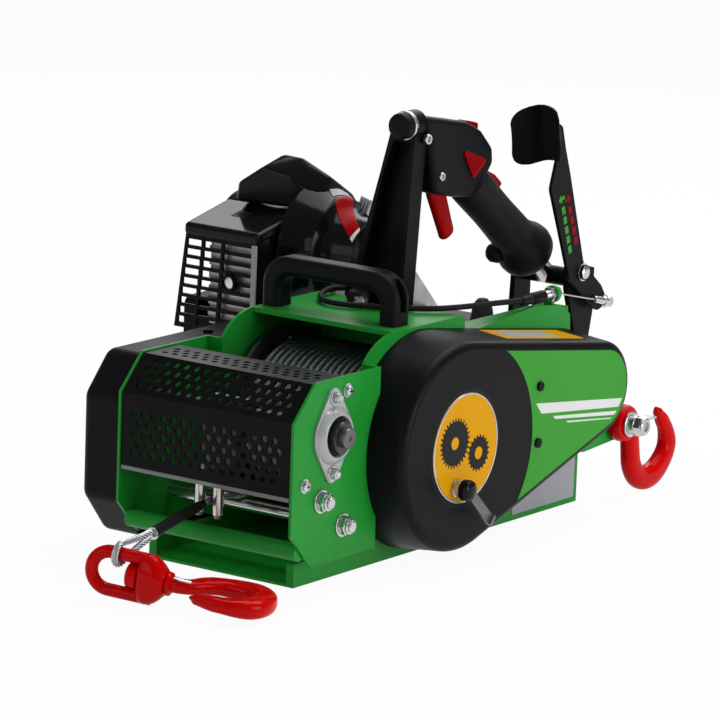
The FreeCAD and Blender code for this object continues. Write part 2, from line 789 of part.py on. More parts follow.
# Drum, shafts and level wind
def drum():
    core = rod_x(-DRUM_HALF, DRUM_HALF, 0, DRUM_Z, CORE_R)
    left = rod_x(-DRUM_HALF - FLANGE_T, -DRUM_HALF, 0, DRUM_Z, FLANGE_R)
    right = rod_x(DRUM_HALF, DRUM_HALF + FLANGE_T, 0, DRUM_Z, FLANGE_R)
    shaft = rod_x(WIND_X - 8, DRIVE_X + SPROCKET_W + 10, 0, DRUM_Z, DRUM_SHAFT_R)
    return fuse([core, left, right, shaft])


def drum_sprockets():
    bore = rod_x(-200, 200, 0, DRUM_Z, DRUM_SHAFT_R + RUN_FIT)
    drive = sprocket(DRIVE_X, 0, DRUM_Z, DRIVE_DRUM_TEETH)
    wind = sprocket(WIND_X, 0, DRUM_Z, WIND_DRUM_TEETH)
    return Part.makeCompound([drive.cut(bore), wind.cut(bore)])


def biarc_edges(p0, t0, p1, t1):
    """Two tangent arcs from one point and direction to the next."""
    span = p1 - p0
    both = t0 + t1
    bend = 2 * (1 - t0.dot(t1))
    along = span.dot(both)
    reach = (math.sqrt(along * along + bend * span.dot(span)) - along) / bend
    joint = (p0 + p1 + (t0 - t1) * reach) * 0.5
    edges = []
    for a, b, tangent in ((p0, joint, t0), (p1, joint, t1 * -1)):
        chord = b - a
        unit = V(chord).normalize()
        side = (tangent - unit * tangent.dot(unit)).normalize()
        sag = chord.Length / 2 * math.tan(tangent.getAngle(unit) / 2)
        middle = (a + b) * 0.5 + side * sag
        ends = (a, b) if tangent == t0 else (b, a)
        edges.append(Part.Arc(ends[0], middle, ends[1]).toShape())
    return edges


def winding_point(turn):
    """Point and direction of the outer layer after some turns."""
    angle = 2 * math.pi * turn
    x = (turn - ROPE_TURNS / 2) * ROPE_PITCH
    point = V(x, WIND_R * math.sin(angle), DRUM_Z + WIND_R * math.cos(angle))
    slope = ROPE_PITCH / (2 * math.pi)
    tangent = V(slope, WIND_R * math.cos(angle), -WIND_R * math.sin(angle)).normalize()
    return point, tangent


def rope_winding():
    """Outer layer of rope as one tube in half turns, with straight ends."""
    stations = [winding_point(i / 2) for i in range(2 * ROPE_TURNS + 1)]
    first, first_way = stations[0]
    last, last_way = stations[-1]
    edges = [Part.makeLine(first - first_way * ROPE_D, first)]
    for (p0, t0), (p1, t1) in zip(stations, stations[1:]):
        edges.extend(biarc_edges(p0, t0, p1, t1))
    edges.append(Part.makeLine(last, last + last_way * ROPE_D))
    wire = Part.Wire(edges)
    one_turn = [winding_point(5 + i / 48)[0] for i in range(48)]
    next_turn = [winding_point(6 + i / 48)[0] for i in range(-24, 25)]
    least = min((a - b).Length for a in one_turn[:24] for b in next_turn) - ROPE_D
    print("rope winding: least gap between turns %.2f mm" % least)
    return pipe(wire, ROPE_R)


def jackshaft():
    shaft = rod_x(PRIMARY_X - 8, DRIVE_X + SPROCKET_W + 8, JACK_Y, JACK_Z, JACK_R)
    primary = sprocket(PRIMARY_X, JACK_Y, JACK_Z, PRIMARY_JACK_TEETH)
    drive = sprocket(DRIVE_X, JACK_Y, JACK_Z, DRIVE_JACK_TEETH)
    return fuse([shaft, primary, drive])


def level_wind_screw():
    """Crossed-thread screw on its shaft, with the chain wheel on its left end."""
    inside = BOX_X - SHEET - 5
    shaft = rod_x(WIND_X - 4, SHAFT_END_X, SCREW_Y, SCREW_Z, SCREW_SHAFT_R)
    screw = rod_x(-inside, inside, SCREW_Y, SCREW_Z, SCREW_R)
    wheel = sprocket(WIND_X, SCREW_Y, SCREW_Z, WIND_SCREW_TEETH)
    return fuse([shaft, screw, wheel])


def roller_places():
    return (ROPE_X - ROLLER_SPREAD / 2, ROPE_X + ROLLER_SPREAD / 2)


def carriage():
    """Nut on the screw, slider on the upper rod and the two roller pins."""
    x0 = ROPE_X - NUT_HALF
    x1 = ROPE_X + NUT_HALF
    nut = rod_x(x0, x1, SCREW_Y, SCREW_Z, NUT_R)
    slider = rod_x(x0, x1, UPPER_ROD_Y, UPPER_ROD_Z, ROD_R + 4)
    web = box(x0, x1, UPPER_ROD_Y - 4, UPPER_ROD_Y + 4, UPPER_ROD_Z, SCREW_Z)
    shelf = box(x0, x1, ROLLER_Y - 10, UPPER_ROD_Y, ROLLER_HIGH_Z + 0.5, ROLLER_HIGH_Z + 5)
    pieces = [nut, slider, web, shelf]
    for x in roller_places():
        low = V(x, ROLLER_Y, ROLLER_LOW_Z - 1)
        pieces.append(Part.makeCylinder(ROLLER_PIN_R, ROLLER_HIGH_Z + 2 - low.z, low))
        pieces.append(Part.makeCylinder(ROLLER_PIN_R + 1.5, 3, low - Z_AXIS * 2.5))
    holes = [
        rod_x(x0 - 1, x1 + 1, SCREW_Y, SCREW_Z, SCREW_R + RUN_FIT),
        rod_x(x0 - 1, x1 + 1, UPPER_ROD_Y, UPPER_ROD_Z, ROD_R + RUN_FIT),
    ]
    return cut(fuse(pieces), holes)


def roller(x):
    height = ROLLER_HIGH_Z - ROLLER_LOW_Z
    base = V(x, ROLLER_Y, ROLLER_LOW_Z)
    bore = Part.makeCylinder(ROLLER_PIN_R + RUN_FIT, height, base)
    return Part.makeCylinder(ROLLER_R, height, base).cut(bore)


# Rope end and hooks
def bow_frame():
    """Origin and directions of the swivel: along, level side and up."""
    heading = math.radians(BOW_HEADING)
    dip = math.radians(BOW_DIP)
    along = V(math.cos(heading) * math.cos(dip), math.sin(heading) * math.cos(dip), -math.sin(dip))
    side = V(-math.sin(heading), math.cos(heading), 0)
    return V(*BOW_START), along, side, along.cross(side)


def bow_point(s, q, w):
    origin, along, side, up = bow_frame()
    return origin + along * s + side * q + up * w


def eye_centre():
    return bow_point(EYE_AT, 0, BOW_HALF)


def rope_route():
    """Rope from just off the drum, over the lower rod and between the rollers."""
    over = V(ROPE_X, LOWER_ROD_Y, LOWER_ROD_Z + ROD_R + ROPE_R + ROD_CLEAR)
    centre = V(ROPE_X, 0, DRUM_Z)
    to_drum = centre - over
    swing = math.asin(WIND_R / to_drum.Length)
    pitch = math.atan2(to_drum.z, to_drum.y) - swing
    tangent_length = math.sqrt(to_drum.Length ** 2 - WIND_R ** 2)
    clear = math.sqrt((WIND_R + ROPE_R + GAP) ** 2 - (WIND_R - ROPE_R) ** 2)
    start = over + V(0, math.cos(pitch), math.sin(pitch)) * (tangent_length - clear)
    rollers = V(ROPE_X, ROLLER_Y, 74)
    end = eye_centre()
    ferrule = end + (rollers - end).normalize() * FERRULE_REACH
    return [start, over, rollers, ferrule]


def rope_lead():
    points = rope_route()
    radii = cord_radii(points)
    wire = path_wire(points, radii)
    solid = pipe(wire, ROPE_R)
    print("rope lead: radii", [round(r) for r in radii], "volume share %.4f" % (
        solid.Volume / (math.pi * ROPE_R ** 2 * wire.Length)))
    return solid


def rope_eye():
    """Sleeve on the rope, then the ferrule and the eye round the bow."""
    points = rope_route()
    ferrule_end = points[-1]
    rollers = points[-2]
    centre = eye_centre()
    way = (centre - ferrule_end).normalize()
    along = bow_frame()[1]
    normal = (along - way * along.dot(way)).normalize()
    ring_r = (BOW_BAR_R + ROPE_R) / along.dot(normal) + GAP
    ferrule = rod_between(ferrule_end, centre - way * ring_r, SLEEVE_R + 0.7)
    ring = Part.makeTorus(ring_r, ROPE_R, centre, normal)
    run = (rollers - ferrule_end).Length
    sleeve = rod_between(ferrule_end, ferrule_end - way * (run - SLEEVE_FROM_ROLLERS), SLEEVE_R)
    rope = rod_between(ferrule_end, ferrule_end - way * run, ROPE_R + RUN_FIT)
    return Part.makeCompound([fuse([ferrule, ring]), sleeve.cut(rope)])


def swivel_bow():
    """Bow of round bar that runs into the swivel boss."""
    low = -BOW_HALF
    shoulder = BOW_LENGTH - 14
    points = [
        bow_point(shoulder, 0, 8),
        bow_point(shoulder - 12, 0, BOW_HALF),
        bow_point(BOW_BAR_R, 0, BOW_HALF),
        bow_point(BOW_BAR_R, 0, low),
        bow_point(shoulder - 12, 0, low),
        bow_point(shoulder, 0, -8),
    ]
    bar = pipe(path_wire(points, [10, BOW_HALF - 0.5, BOW_HALF - 0.5, 10]), BOW_BAR_R)
    boss = rod_between(bow_point(shoulder - 12, 0, 0), bow_point(BOW_LENGTH, 0, 0), 13)
    bore = rod_between(bow_point(shoulder - 20, 0, 0), bow_point(BOW_LENGTH + 5, 0, 0), SWIVEL_R + RUN_FIT)
    return cut(fuse([bar, boss]), [bore])


def rope_hook():
    """Hook with its swivel shank and the retaining head inside the bow."""
    head = rod_between(bow_point(BOW_LENGTH - 40, 0, 0), bow_point(BOW_LENGTH - 26 - GAP, 0, 0), 10.5)
    shank = rod_between(bow_point(BOW_LENGTH - 30, 0, 0), bow_point(BOW_LENGTH + 8, 0, 0), SWIVEL_R)
    collar = rod_between(bow_point(BOW_LENGTH + GAP, 0, 0), bow_point(BOW_LENGTH + 6, 0, 0), 10.5)
    centre = BOW_LENGTH + 68
    points = [
        bow_point(BOW_LENGTH + 4, 0, 0),
        bow_point(centre - 42, 2, 0),
        bow_point(centre - 30, 30, 0),
        bow_point(centre + 30, 30, 0),
        bow_point(centre + 30, -30, 0),
        bow_point(centre - 22, -30, 0),
        bow_point(centre - 34, -26, 0),
    ]
    body = pipe(path_wire(points, [12, 14, 29, 29, 8]), BOWL_BAR_R)
    return fuse([head, shank, collar, round_end(body, points[-1], BOWL_BAR_R)])


def rear_hook():
    """Hook that hangs on the anchor bolt."""
    eye = rod_x(HOOK_X - HOOK_HALF, HOOK_X + HOOK_HALF, ANCHOR_Y, ANCHOR_Z, EYE_R)
    points = [
        V(HOOK_X, ANCHOR_Y + 12, ANCHOR_Z - 8),
        V(HOOK_X, BOWL_Y - BOWL_R, BOWL_Z + 10),
        V(HOOK_X, BOWL_Y - BOWL_R, BOWL_Z - BOWL_R),
        V(HOOK_X, BOWL_Y + BOWL_R, BOWL_Z - BOWL_R),
        V(HOOK_X, BOWL_Y + BOWL_R, TIP_LOW_Z),
        V(HOOK_X, BOWL_Y + BOWL_R - TIP_IN, TIP_LOW_Z + TIP_RUN),
    ]
    body = pipe(path_wire(points, [12, BOWL_R - 1, BOWL_R - 1, 16]), BOWL_BAR_R)
    body = round_end(body, points[-1], BOWL_BAR_R)
    bore = rod_x(HOOK_X - 20, HOOK_X + 20, ANCHOR_Y, ANCHOR_Z, ANCHOR_R + RUN_FIT)
    pivot_y, pivot_z = latch_pivot()
    pin = rod_x(HOOK_X - 8, HOOK_X + 8, pivot_y, pivot_z, 2.5)
    ear = box(HOOK_X - 3, HOOK_X + 3, ANCHOR_Y + 10, pivot_y + 3, pivot_z - 4, pivot_z + 3)
    return eye.multiFuse([body, ear, pin]).cut(bore)


def latch_pivot():
    return ANCHOR_Y + EYE_R + 5, ANCHOR_Z - 2


def rear_latch():
    """Sprung strip that closes the rear hook's throat."""
    pivot_y, pivot_z = latch_pivot()
    lean = TIP_IN / TIP_RUN
    bar_y = BOWL_Y + BOWL_R - (pivot_z - TIP_LOW_Z) * lean
    end_y = bar_y - BOWL_BAR_R * math.hypot(1, lean) - LATCH_END_GAP
    hub = rod_x(HOOK_X - LATCH_HALF, HOOK_X + LATCH_HALF, pivot_y, pivot_z, 4.5)
    strip = box(HOOK_X - LATCH_HALF, HOOK_X + LATCH_HALF, pivot_y, end_y, pivot_z - 1, pivot_z + 1)
    slot = box(HOOK_X - 3 - GAP, HOOK_X + 3 + GAP, pivot_y - 6, pivot_y + 6, pivot_z - 8, pivot_z + 8)
    pin = rod_x(HOOK_X - 10, HOOK_X + 10, pivot_y, pivot_z, 2.5 + RUN_FIT)
    return cut(fuse([hub, strip]), [slot, pin])


def anchor_bolt():
    """Bolt, washer, spacer and nut that hold the rear hook."""
    eye_right = HOOK_X + HOOK_HALF
    shank = rod_x(INNER_X - SHEET, eye_right + 21, ANCHOR_Y, ANCHOR_Z, ANCHOR_R)
    head = hex_x(INNER_X - SHEET - 9, INNER_X - SHEET, ANCHOR_Y, ANCHOR_Z, 13)
    bore = rod_x(0, 200, ANCHOR_Y, ANCHOR_Z, ANCHOR_R + RUN_FIT)
    washer = rod_x(eye_right + GAP, eye_right + 3, ANCHOR_Y, ANCHOR_Z, 14).cut(bore)
    spacer = rod_x(eye_right + 3, eye_right + 11, ANCHOR_Y, ANCHOR_Z, 10.5).cut(bore)
    nut = hex_x(eye_right + 11, eye_right + 20, ANCHOR_Y, ANCHOR_Z, 11.5).cut(bore)
    return Part.makeCompound([fuse([shank, head]), washer, spacer, nut])


# Handles and controls
def carry_handle():
    """Moulded arch handle on the deck."""
    x0, x1 = HANDLE_LEFT_X, HANDLE_RIGHT_X
    y0, y1 = HANDLE_FRONT_Y, HANDLE_FRONT_Y + HANDLE_DEPTH
    arch = [V(x0, y0, DECK_Z), V(x0, y0, HANDLE_TOP_Z), V(x1, y0, HANDLE_TOP_Z), V(x1, y0, DECK_Z)]
    outer = rounded_face(arch, [0, 30, 30, 0]).extrude(V(0, HANDLE_DEPTH, 0))
    g0 = x0 + HANDLE_FOOT
    g1 = x1 - HANDLE_FOOT
    top = HANDLE_TOP_Z - HANDLE_BAR
    window = [V(g0, y0 - 1, DECK_Z - 5), V(g0, y0 - 1, top), V(g1, y0 - 1, top), V(g1, y0 - 1, DECK_Z - 5)]
    inner = rounded_face(window, [0, 14, 14, 0]).extrude(V(0, HANDLE_DEPTH + 2, 0))
    body = outer.cut(inner)
    long_edges = [edge for edge in body.Edges
                  if edge.BoundBox.YLength < 1e-6 and edge.BoundBox.ZMax > DECK_Z + 1 and edge.Length > 5]
    body = body.makeFillet(HANDLE_ROUND, long_edges)
    mid_y = (y0 + y1) / 2
    for x, way in ((x0, 1), (x1, -1)):
        near, far = sorted((x, x + way * 12))
        pocket = box(near, far, mid_y - 5, mid_y + 5, DECK_Z + 14, HANDLE_TOP_Z + 1)
        body = body.cut(pocket)
    return body


def bracket_outline(inset):
    return [
        (-46 + inset, DECK_Z - (20 if inset else 0)),
        (23 - inset, DECK_Z - (20 if inset else 0)),
        (30 - inset, 370),
        (GRIP_X + 13 - inset, BRACKET_TOP_Z - 2 * inset),
        (GRIP_X - 18 + inset, BRACKET_TOP_Z - 2 * inset),
        (-9 + inset, 370),
    ]


def handle_bracket():
    """Tapered channel from the deck to the handle tube, and the cable boss."""
    body = outline_y(bracket_outline(0), BRACKET_FRONT_Y, BRACKET_REAR_Y)
    hollow = outline_y(bracket_outline(BRACKET_WALL), BRACKET_FRONT_Y - 1, BRACKET_REAR_Y - BRACKET_WALL)
    floor = box(-46, 23, BRACKET_FRONT_Y, BRACKET_REAR_Y, DECK_Z, DECK_Z + BRACKET_WALL)
    clamp = Part.makeCylinder(TUBE_R + 4, BRACKET_REAR_Y - BRACKET_FRONT_Y - 3,
                              V(GRIP_X, BRACKET_FRONT_Y, tube_height(BRACKET_FRONT_Y)), Y_AXIS)
    boss = Part.makeCylinder(13, DECK_Z + 12 - REAR_DECK_Z, V(-58, 98, REAR_DECK_Z))
    channel = cut(fuse([body.cut(hollow), floor, clamp]), [tube_form(TUBE_R + RUN_FIT)])
    return Part.makeCompound([channel, boss])


def tube_height(y):
    """Height of the handle tube's axis on its front run."""
    share = (y - TUBE_FRONT[0]) / (TUBE_BEND[0] - TUBE_FRONT[0])
    return TUBE_FRONT[1] + share * (TUBE_BEND[1] - TUBE_FRONT[1])


def tube_point(share):
    """Point on the sloping run of the handle tube."""
    y = TUBE_BEND[0] + share * (TUBE_REAR[0] - TUBE_BEND[0])
    z = TUBE_BEND[1] + share * (TUBE_REAR[1] - TUBE_BEND[1])
    return V(GRIP_X, y, z)


def tube_form(r):
    points = [V(GRIP_X, y, z) for y, z in (TUBE_FRONT, TUBE_BEND, TUBE_REAR)]
    return pipe(path_wire(points, [TUBE_BEND_R]), r)


def cross_bar(r):
    return rod_x(LEFT_ARM_X, ARM_X + ARM_T, TUBE_REAR[0], TUBE_REAR[1], r)


def handle_tube():
    """Bent steel tube with a closed front end, stopped at the rear cross bar."""
    cap = Part.makeCylinder(TUBE_R + 2, 6, V(GRIP_X, TUBE_FRONT[0] - 3, TUBE_FRONT[1]), Y_AXIS)
    solid = fuse([tube_form(TUBE_R), cap])
    return solid.cut(cross_bar(CROSS_BAR_R))


def at_bend(outline):
    """Outline given from the bend of the handle tube."""
    return [(TUBE_BEND[0] + y, TUBE_BEND[1] + z) for y, z in outline]


def housing_outline():
    return at_bend([
        (-8, 10.5), (82, -7.5), (116, -33.5), (122, -55.5), (94, -83.5), (62, -79.5), (20, -71.5), (4, -19.5),
    ])


def stop_outline():
    return at_bend([(56, -30.5), (98, -45.5), (76, -65.5)])


def bend_box(half, y0, y1, z0, z1):
    """Room for a control of a half width, given from the bend of the tube."""
    y, z = TUBE_BEND
    return box(GRIP_X - half - GAP, GRIP_X + half + GAP, y + y0, y + y1, z + z0, z + z1)


def throttle_housing():
    """Moulded switch housing clamped on the tube, with pockets for its controls."""
    x0 = GRIP_X - HOUSING_HALF
    x1 = GRIP_X + HOUSING_HALF
    body = outline_x(housing_outline(), x0, x1, 6)
    rims = [edge for edge in body.Edges
            if edge.BoundBox.XLength < 1e-6 and edge.Length > 4]
    body = body.makeFillet(5, rims)
    behind = box(-200, 200, 0, BRACKET_REAR_Y + GAP, 0, 500)
    stop = outline_x(grown(stop_outline(), GAP), x1 - 8, x1 + 5)
    trigger = bend_box(TRIGGER_HALF, 16, 64, -90, -57)
    button = bend_box(BUTTON_HALF, 76 - GAP, 92 + GAP, -27, 11)
    lock = bend_box(LOCK_HALF, 102, 128, -67, -41)
    return cut(body, [tube_form(TUBE_R + RUN_FIT), behind, stop, trigger, button, lock, grip_form(GAP)])


def grown(outline, margin):
    """Outline moved out from its own middle by a margin."""
    mid_y = sum(y for y, z in outline) / len(outline)
    mid_z = sum(z for y, z in outline) / len(outline)
    points = []
    for y, z in outline:
        reach = math.hypot(y - mid_y, z - mid_z)
        share = 1 + 2 * margin / reach
        points.append((mid_y + (y - mid_y) * share, mid_z + (z - mid_z) * share))
    return points


def grip_form(margin):
    start = tube_point(GRIP_START)
    end = tube_point(GRIP_END)
    way = (end - start).normalize()
    flare = Part.makeCylinder(GRIP_FLARE_R + margin, GRIP_FLARE_T, end - way * GRIP_FLARE_T, way)
    return fuse([rod_between(start - way * margin, end, GRIP_R + margin), flare])


def handle_grip():
    body = grip_form(0)
    return cut(body, [tube_form(TUBE_R + RUN_FIT), bend_box(LOCK_HALF, *LOCK_SLOT_Y, *LOCK_SLOT_Z)])


def throttle_trigger():
    """Finger trigger under the housing."""
    x0 = GRIP_X - TRIGGER_HALF
    x1 = GRIP_X + TRIGGER_HALF
    hub = rod_x(x0, x1, TUBE_BEND[0] + TRIGGER_BACK, TUBE_BEND[1] - TRIGGER_DROP, 6)
    outline = [(28, -67.5), (50, -67.5), (68, -115.5), (60, -122.5), (52, -119.5)]
    return fuse([hub, outline_x(at_bend(outline), x0, x1, 3)])


def throttle_lock():
    """Palm lever that has to be pressed before the trigger moves."""
    x0 = GRIP_X - LOCK_HALF
    x1 = GRIP_X + LOCK_HALF
    hub = rod_x(x0, x1, TUBE_BEND[0] + LOCK_BACK, TUBE_BEND[1] - LOCK_DROP, LOCK_HUB_R)
    outline = [(106, -45.5), (122, -45.5), (154, -69.5), (150, -77.5), (116, -53.5), (106, -57.5)]
    return fuse([hub, outline_x(at_bend(outline), x0, x1, 2)])


def stop_switch():
    x1 = GRIP_X + HOUSING_HALF
    return outline_x(stop_outline(), x1 - STOP_DEPTH, x1 + CONTROL_PROUD)


def hold_button():
    outline = [(76, -23.5), (92, -23.5), (92, -8.5), (76, -3.5)]
    return outline_x(at_bend(outline), GRIP_X - BUTTON_HALF, GRIP_X + BUTTON_HALF)


def rear_arm(x0, with_lever):
    """Rear upright behind the end wall, up to the cross bar."""
    top = LEVER_PIVOT_Z + 12 if with_lever else TUBE_REAR[1] + 14
    near = LEVER_PIVOT_Y - 12 if with_lever else TUBE_REAR[0] - 16
    back = TUBE_REAR[0] + 14
    return outline_x([
        (REAR_Y, ARM_FOOT_LOW_Z),
        (REAR_Y, ARM_FOOT_HIGH_Z),
        (REAR_Y + 10, TUBE_REAR[1] - 55),
        (near, TUBE_REAR[1] - 5),
        (near, top),
        (back, TUBE_REAR[1] + 12),
        (back, TUBE_REAR[1] - 35),
        (REAR_Y + 24, ARM_FOOT_HIGH_Z),
        (REAR_Y + 12, ARM_FOOT_LOW_Z),
    ], x0, x0 + ARM_T)


def rear_handle_bracket():
    """Two uprights with a cross bar and the start lever's pivot."""
    foot = box(LEFT_ARM_X, ARM_X + ARM_T, REAR_Y, REAR_Y + 4, ARM_FOOT_LOW_Z, ARM_FOOT_HIGH_Z)
    right = LEVER_X + LEVER_T
    pivot = rod_x(ARM_X, right + 1, LEVER_PIVOT_Y, LEVER_PIVOT_Z, LEVER_PIVOT_R)
    boss = rod_x(ARM_X, LEVER_X - GAP, LEVER_PIVOT_Y, LEVER_PIVOT_Z, LEVER_PIVOT_R + 4)
    head = rod_x(right + GAP, right + 4, LEVER_PIVOT_Y, LEVER_PIVOT_Z, LEVER_PIVOT_R + 3)
    arms = [rear_arm(ARM_X, True), rear_arm(LEFT_ARM_X, False)]
    return fuse(arms + [foot, cross_bar(CROSS_BAR_R), pivot, boss, head])


def start_lever():
    """Bent strip with a hand paddle and the cable clamp on its foot."""
    right = LEVER_X + LEVER_T
    outline = [
        (-26, -11), (-65, 95), (-60, 109), (-60, 159), (-52, 159), (-46, 121), (-32, 105),
        (4, 13), (14, 3), (53, -35), (47, -47), (32, -42), (-8, -19),
    ]
    strip = outline_x([(LEVER_PIVOT_Y + y, LEVER_PIVOT_Z + z) for y, z in outline], LEVER_X, right, 2.5)
    form = [(-56, 110), (LEVER_T, 110), (LEVER_T, 159), (-6, 172), (-46, 172), (-56, 159)]
    paddle_y = LEVER_PIVOT_Y - 60
    paddle = outline_y([(LEVER_X + x, LEVER_PIVOT_Z + z) for x, z in form], paddle_y, paddle_y + LEVER_T, 4)
    clamp = rod_x(LEVER_X, CABLE_X + 6, CLAMP_Y, CLAMP_Z, 4)
    hole = rod_x(LEVER_X - 1, LEVER_X + LEVER_T + 1, LEVER_PIVOT_Y, LEVER_PIVOT_Z, LEVER_PIVOT_R + RUN_FIT)
    wire_hole = rod_between(wire_start(), wire_end() + (wire_end() - wire_start()) * 0.2, WIRE_R + GAP)
    return cut(fuse([strip, paddle, clamp]), [hole, wire_hole])


def wire_start():
    return V(CABLE_X, BARREL_REAR_Y, CABLE_Z)


def wire_end():
    return V(CABLE_X + 1, CLAMP_Y, CLAMP_Z)


def cable_wire():
    return rod_between(wire_start(), wire_end(), WIRE_R)


def cable_adjuster():
    """Threaded barrel with its lock nuts on the green tab."""
    length = BARREL_REAR_Y - BARREL_FRONT_Y
    barrel = Part.makeCylinder(BARREL_R, length, V(CABLE_X, BARREL_FRONT_Y, CABLE_Z), Y_AXIS)
    nuts = []
    for y in (BARREL_REAR_Y - 14, BARREL_REAR_Y - 3):
        nuts.append(Part.makeCylinder(7, 6 if y < BARREL_REAR_Y - 8 else 3, V(CABLE_X, y, CABLE_Z), Y_AXIS))
    return fuse([barrel] + nuts)


def cable_route():
    """Outer cable from the adjuster over the deck, round a loop to the boss."""
    return [
        V(CABLE_X, BARREL_FRONT_Y, CABLE_Z),
        V(85, 140, 236),
        V(80, 92, 238),
        V(58, 60, 237),
        V(20, 36, 237),
        V(-14, 18, 237),
        V(-42, 15, 237.5),
        V(-62, 36, 238.5),
        V(-72, 71, 239.5),
        V(-64.5, 86, 238),
    ]


def control_cable():
    points = cable_route()
    radii = cord_radii(points)
    wire = path_wire(points, radii)
    solid = pipe(wire, CABLE_R)
    print("control cable: radii", [round(r) for r in radii], "volume share %.4f" % (
        solid.Volume / (math.pi * CABLE_R ** 2 * wire.Length)))
    return solid


def free_spool_lever():
    """Shaft through the right cover with a bent lever bar."""
    shaft = rod_x(DRIVE_X + SPROCKET_W + 6, COVER_FACE_X + 20, SPOOL_Y, SPOOL_Z, SPOOL_SHAFT_R)
    angle = math.radians(-SPOOL_SLOPE)
    end = V(COVER_FACE_X + 16, SPOOL_Y + SPOOL_ARM * math.cos(angle), SPOOL_Z + SPOOL_ARM * math.sin(angle))
    bar = rod_between(V(COVER_FACE_X + 16, SPOOL_Y, SPOOL_Z), end, SPOOL_SHAFT_R - 1)
    knob = Part.makeSphere(SPOOL_SHAFT_R, end)
    collar = rod_x(COVER_FACE_X + DISC_T + GAP, COVER_FACE_X + 9, SPOOL_Y, SPOOL_Z, SPOOL_SHAFT_R + 4)
    cam = rod_x(DRIVE_X + SPROCKET_W + 6, DRIVE_X + SPROCKET_W + 12, SPOOL_Y, SPOOL_Z, SPOOL_SHAFT_R + 5)
    return fuse([shaft, bar, knob, collar, cam])


# Engine
def case_radius(teeth):
    """Outer radius of the casting round one primary wheel's chain, in whole millimetres."""
    return round(pitch_radius(teeth) + CHAIN_PLATE_H / 2 + CASE_CLEAR + CASE_WALL)


def gear_case():
    """Casting that carries the engine and encloses the primary drive."""
    crank_r = case_radius(PRIMARY_CLUTCH_TEETH)
    jack_r = case_radius(PRIMARY_JACK_TEETH)
    crank = (CRANK_Y, CRANK_Z, crank_r)
    jack = (JACK_Y, JACK_Z, jack_r)
    flange = rod_x(CASE_LEFT_X, CASE_LEFT_X + CASE_WALL, CRANK_Y, CRANK_Z, FAN_RIM_R)
    body = fuse([hull_x(CASE_LEFT_X, -INNER_X, crank, jack), flange])
    room = hull_x(CASE_LEFT_X + CASE_WALL, -INNER_X - CASE_WALL,
                  (CRANK_Y, CRANK_Z, crank_r - CASE_WALL), (JACK_Y, JACK_Z, jack_r - CASE_WALL))
    jack_hole = rod_x(-INNER_X - 10, -INNER_X + 1, JACK_Y, JACK_Z, JACK_R + 1)
    crank_hole = rod_x(CASE_LEFT_X - 1, CASE_LEFT_X + 10, CRANK_Y, CRANK_Z, CRANK_R + 2)
    return cut(body, [room, jack_hole, crank_hole])


def fan_form(inset):
    """Round form of the fan housing with its conical right edge."""
    corner_x = FAN_LEFT_X + FAN_STRAIGHT
    drum_end = rod_x(FAN_LEFT_X + inset, corner_x, CRANK_Y, CRANK_Z, FAN_R - inset)
    cone = Part.makeCone(FAN_R - inset, FAN_RIM_R - inset, CASE_LEFT_X - corner_x,
                         V(corner_x, CRANK_Y, CRANK_Z), X_AXIS)
    return drum_end.fuse(cone)


def fan_housing():
    """Fan shell, closed on its right by the gear case's flange."""
    hole = rod_x(FAN_LEFT_X - 1, CASE_LEFT_X, CRANK_Y, CRANK_Z, CRANK_R + 2)
    return cut(fan_form(0), [fan_form(CASE_WALL), hole])


def engine_block():
    """Crankcase with an upright finned cylinder."""
    case = rod_x(BLOCK_LEFT_X, FAN_LEFT_X, CRANK_Y, CRANK_Z - CRANKCASE_DROP, CRANKCASE_R)
    barrel = Part.makeCylinder(CYLINDER_R, CYLINDER_H, V(BLOCK_MID_X, CRANK_Y, CRANK_Z))
    fins = [Part.makeCylinder(FIN_R, 3, V(BLOCK_MID_X, CRANK_Y, CRANK_Z + 20 + 7 * i)) for i in range(5)]
    bore = rod_x(BLOCK_LEFT_X - 1, FAN_LEFT_X + 1, CRANK_Y, CRANK_Z, CRANK_R + RUN_FIT)
    return cut(fuse([case, barrel] + fins), [bore])


def block_room():
    """Space of the crankcase and the finned cylinder, with a small gap."""
    low_z = CRANK_Z - CRANKCASE_DROP
    case = rod_x(BLOCK_LEFT_X - GAP, FAN_LEFT_X + GAP, CRANK_Y, low_z, CRANKCASE_R + GAP)
    height = CRANKCASE_DROP + CYLINDER_H + 10
    return [case, Part.makeCylinder(FIN_R + GAP, height, V(BLOCK_MID_X, CRANK_Y, low_z))]


def crankshaft():
    """Shaft with the flywheel fan and the clutch shoes."""
    shaft = rod_x(BLOCK_LEFT_X - 2, PRIMARY_X + SPROCKET_W + 6, CRANK_Y, CRANK_Z, CRANK_R)
    flywheel = rod_x(FAN_LEFT_X + CASE_WALL + 6, CASE_LEFT_X - 6, CRANK_Y, CRANK_Z, FLYWHEEL_R)
    shoes = rod_x(CASE_LEFT_X + CASE_WALL + 1, PRIMARY_X - 7, CRANK_Y, CRANK_Z, SHOE_R)
    return fuse([shaft, flywheel, shoes])


def clutch_drum():
    """Cup round the clutch shoes with the primary chain wheel."""
    left = CASE_LEFT_X + CASE_WALL + 1
    web = PRIMARY_X - 6
    cup = rod_x(left, PRIMARY_X - 3, CRANK_Y, CRANK_Z, SHOE_R + 6)
    room = rod_x(left - 1, web, CRANK_Y, CRANK_Z, SHOE_R + 1)
    hub = rod_x(web, PRIMARY_X + SPROCKET_W + 4, CRANK_Y, CRANK_Z, 14)
    wheel = sprocket(PRIMARY_X, CRANK_Y, CRANK_Z, PRIMARY_CLUTCH_TEETH)
    bore = rod_x(left - 1, PRIMARY_X + 40, CRANK_Y, CRANK_Z, CRANK_R + RUN_FIT)
    return cut(fuse([cup.cut(room), hub, wheel]), [bore])


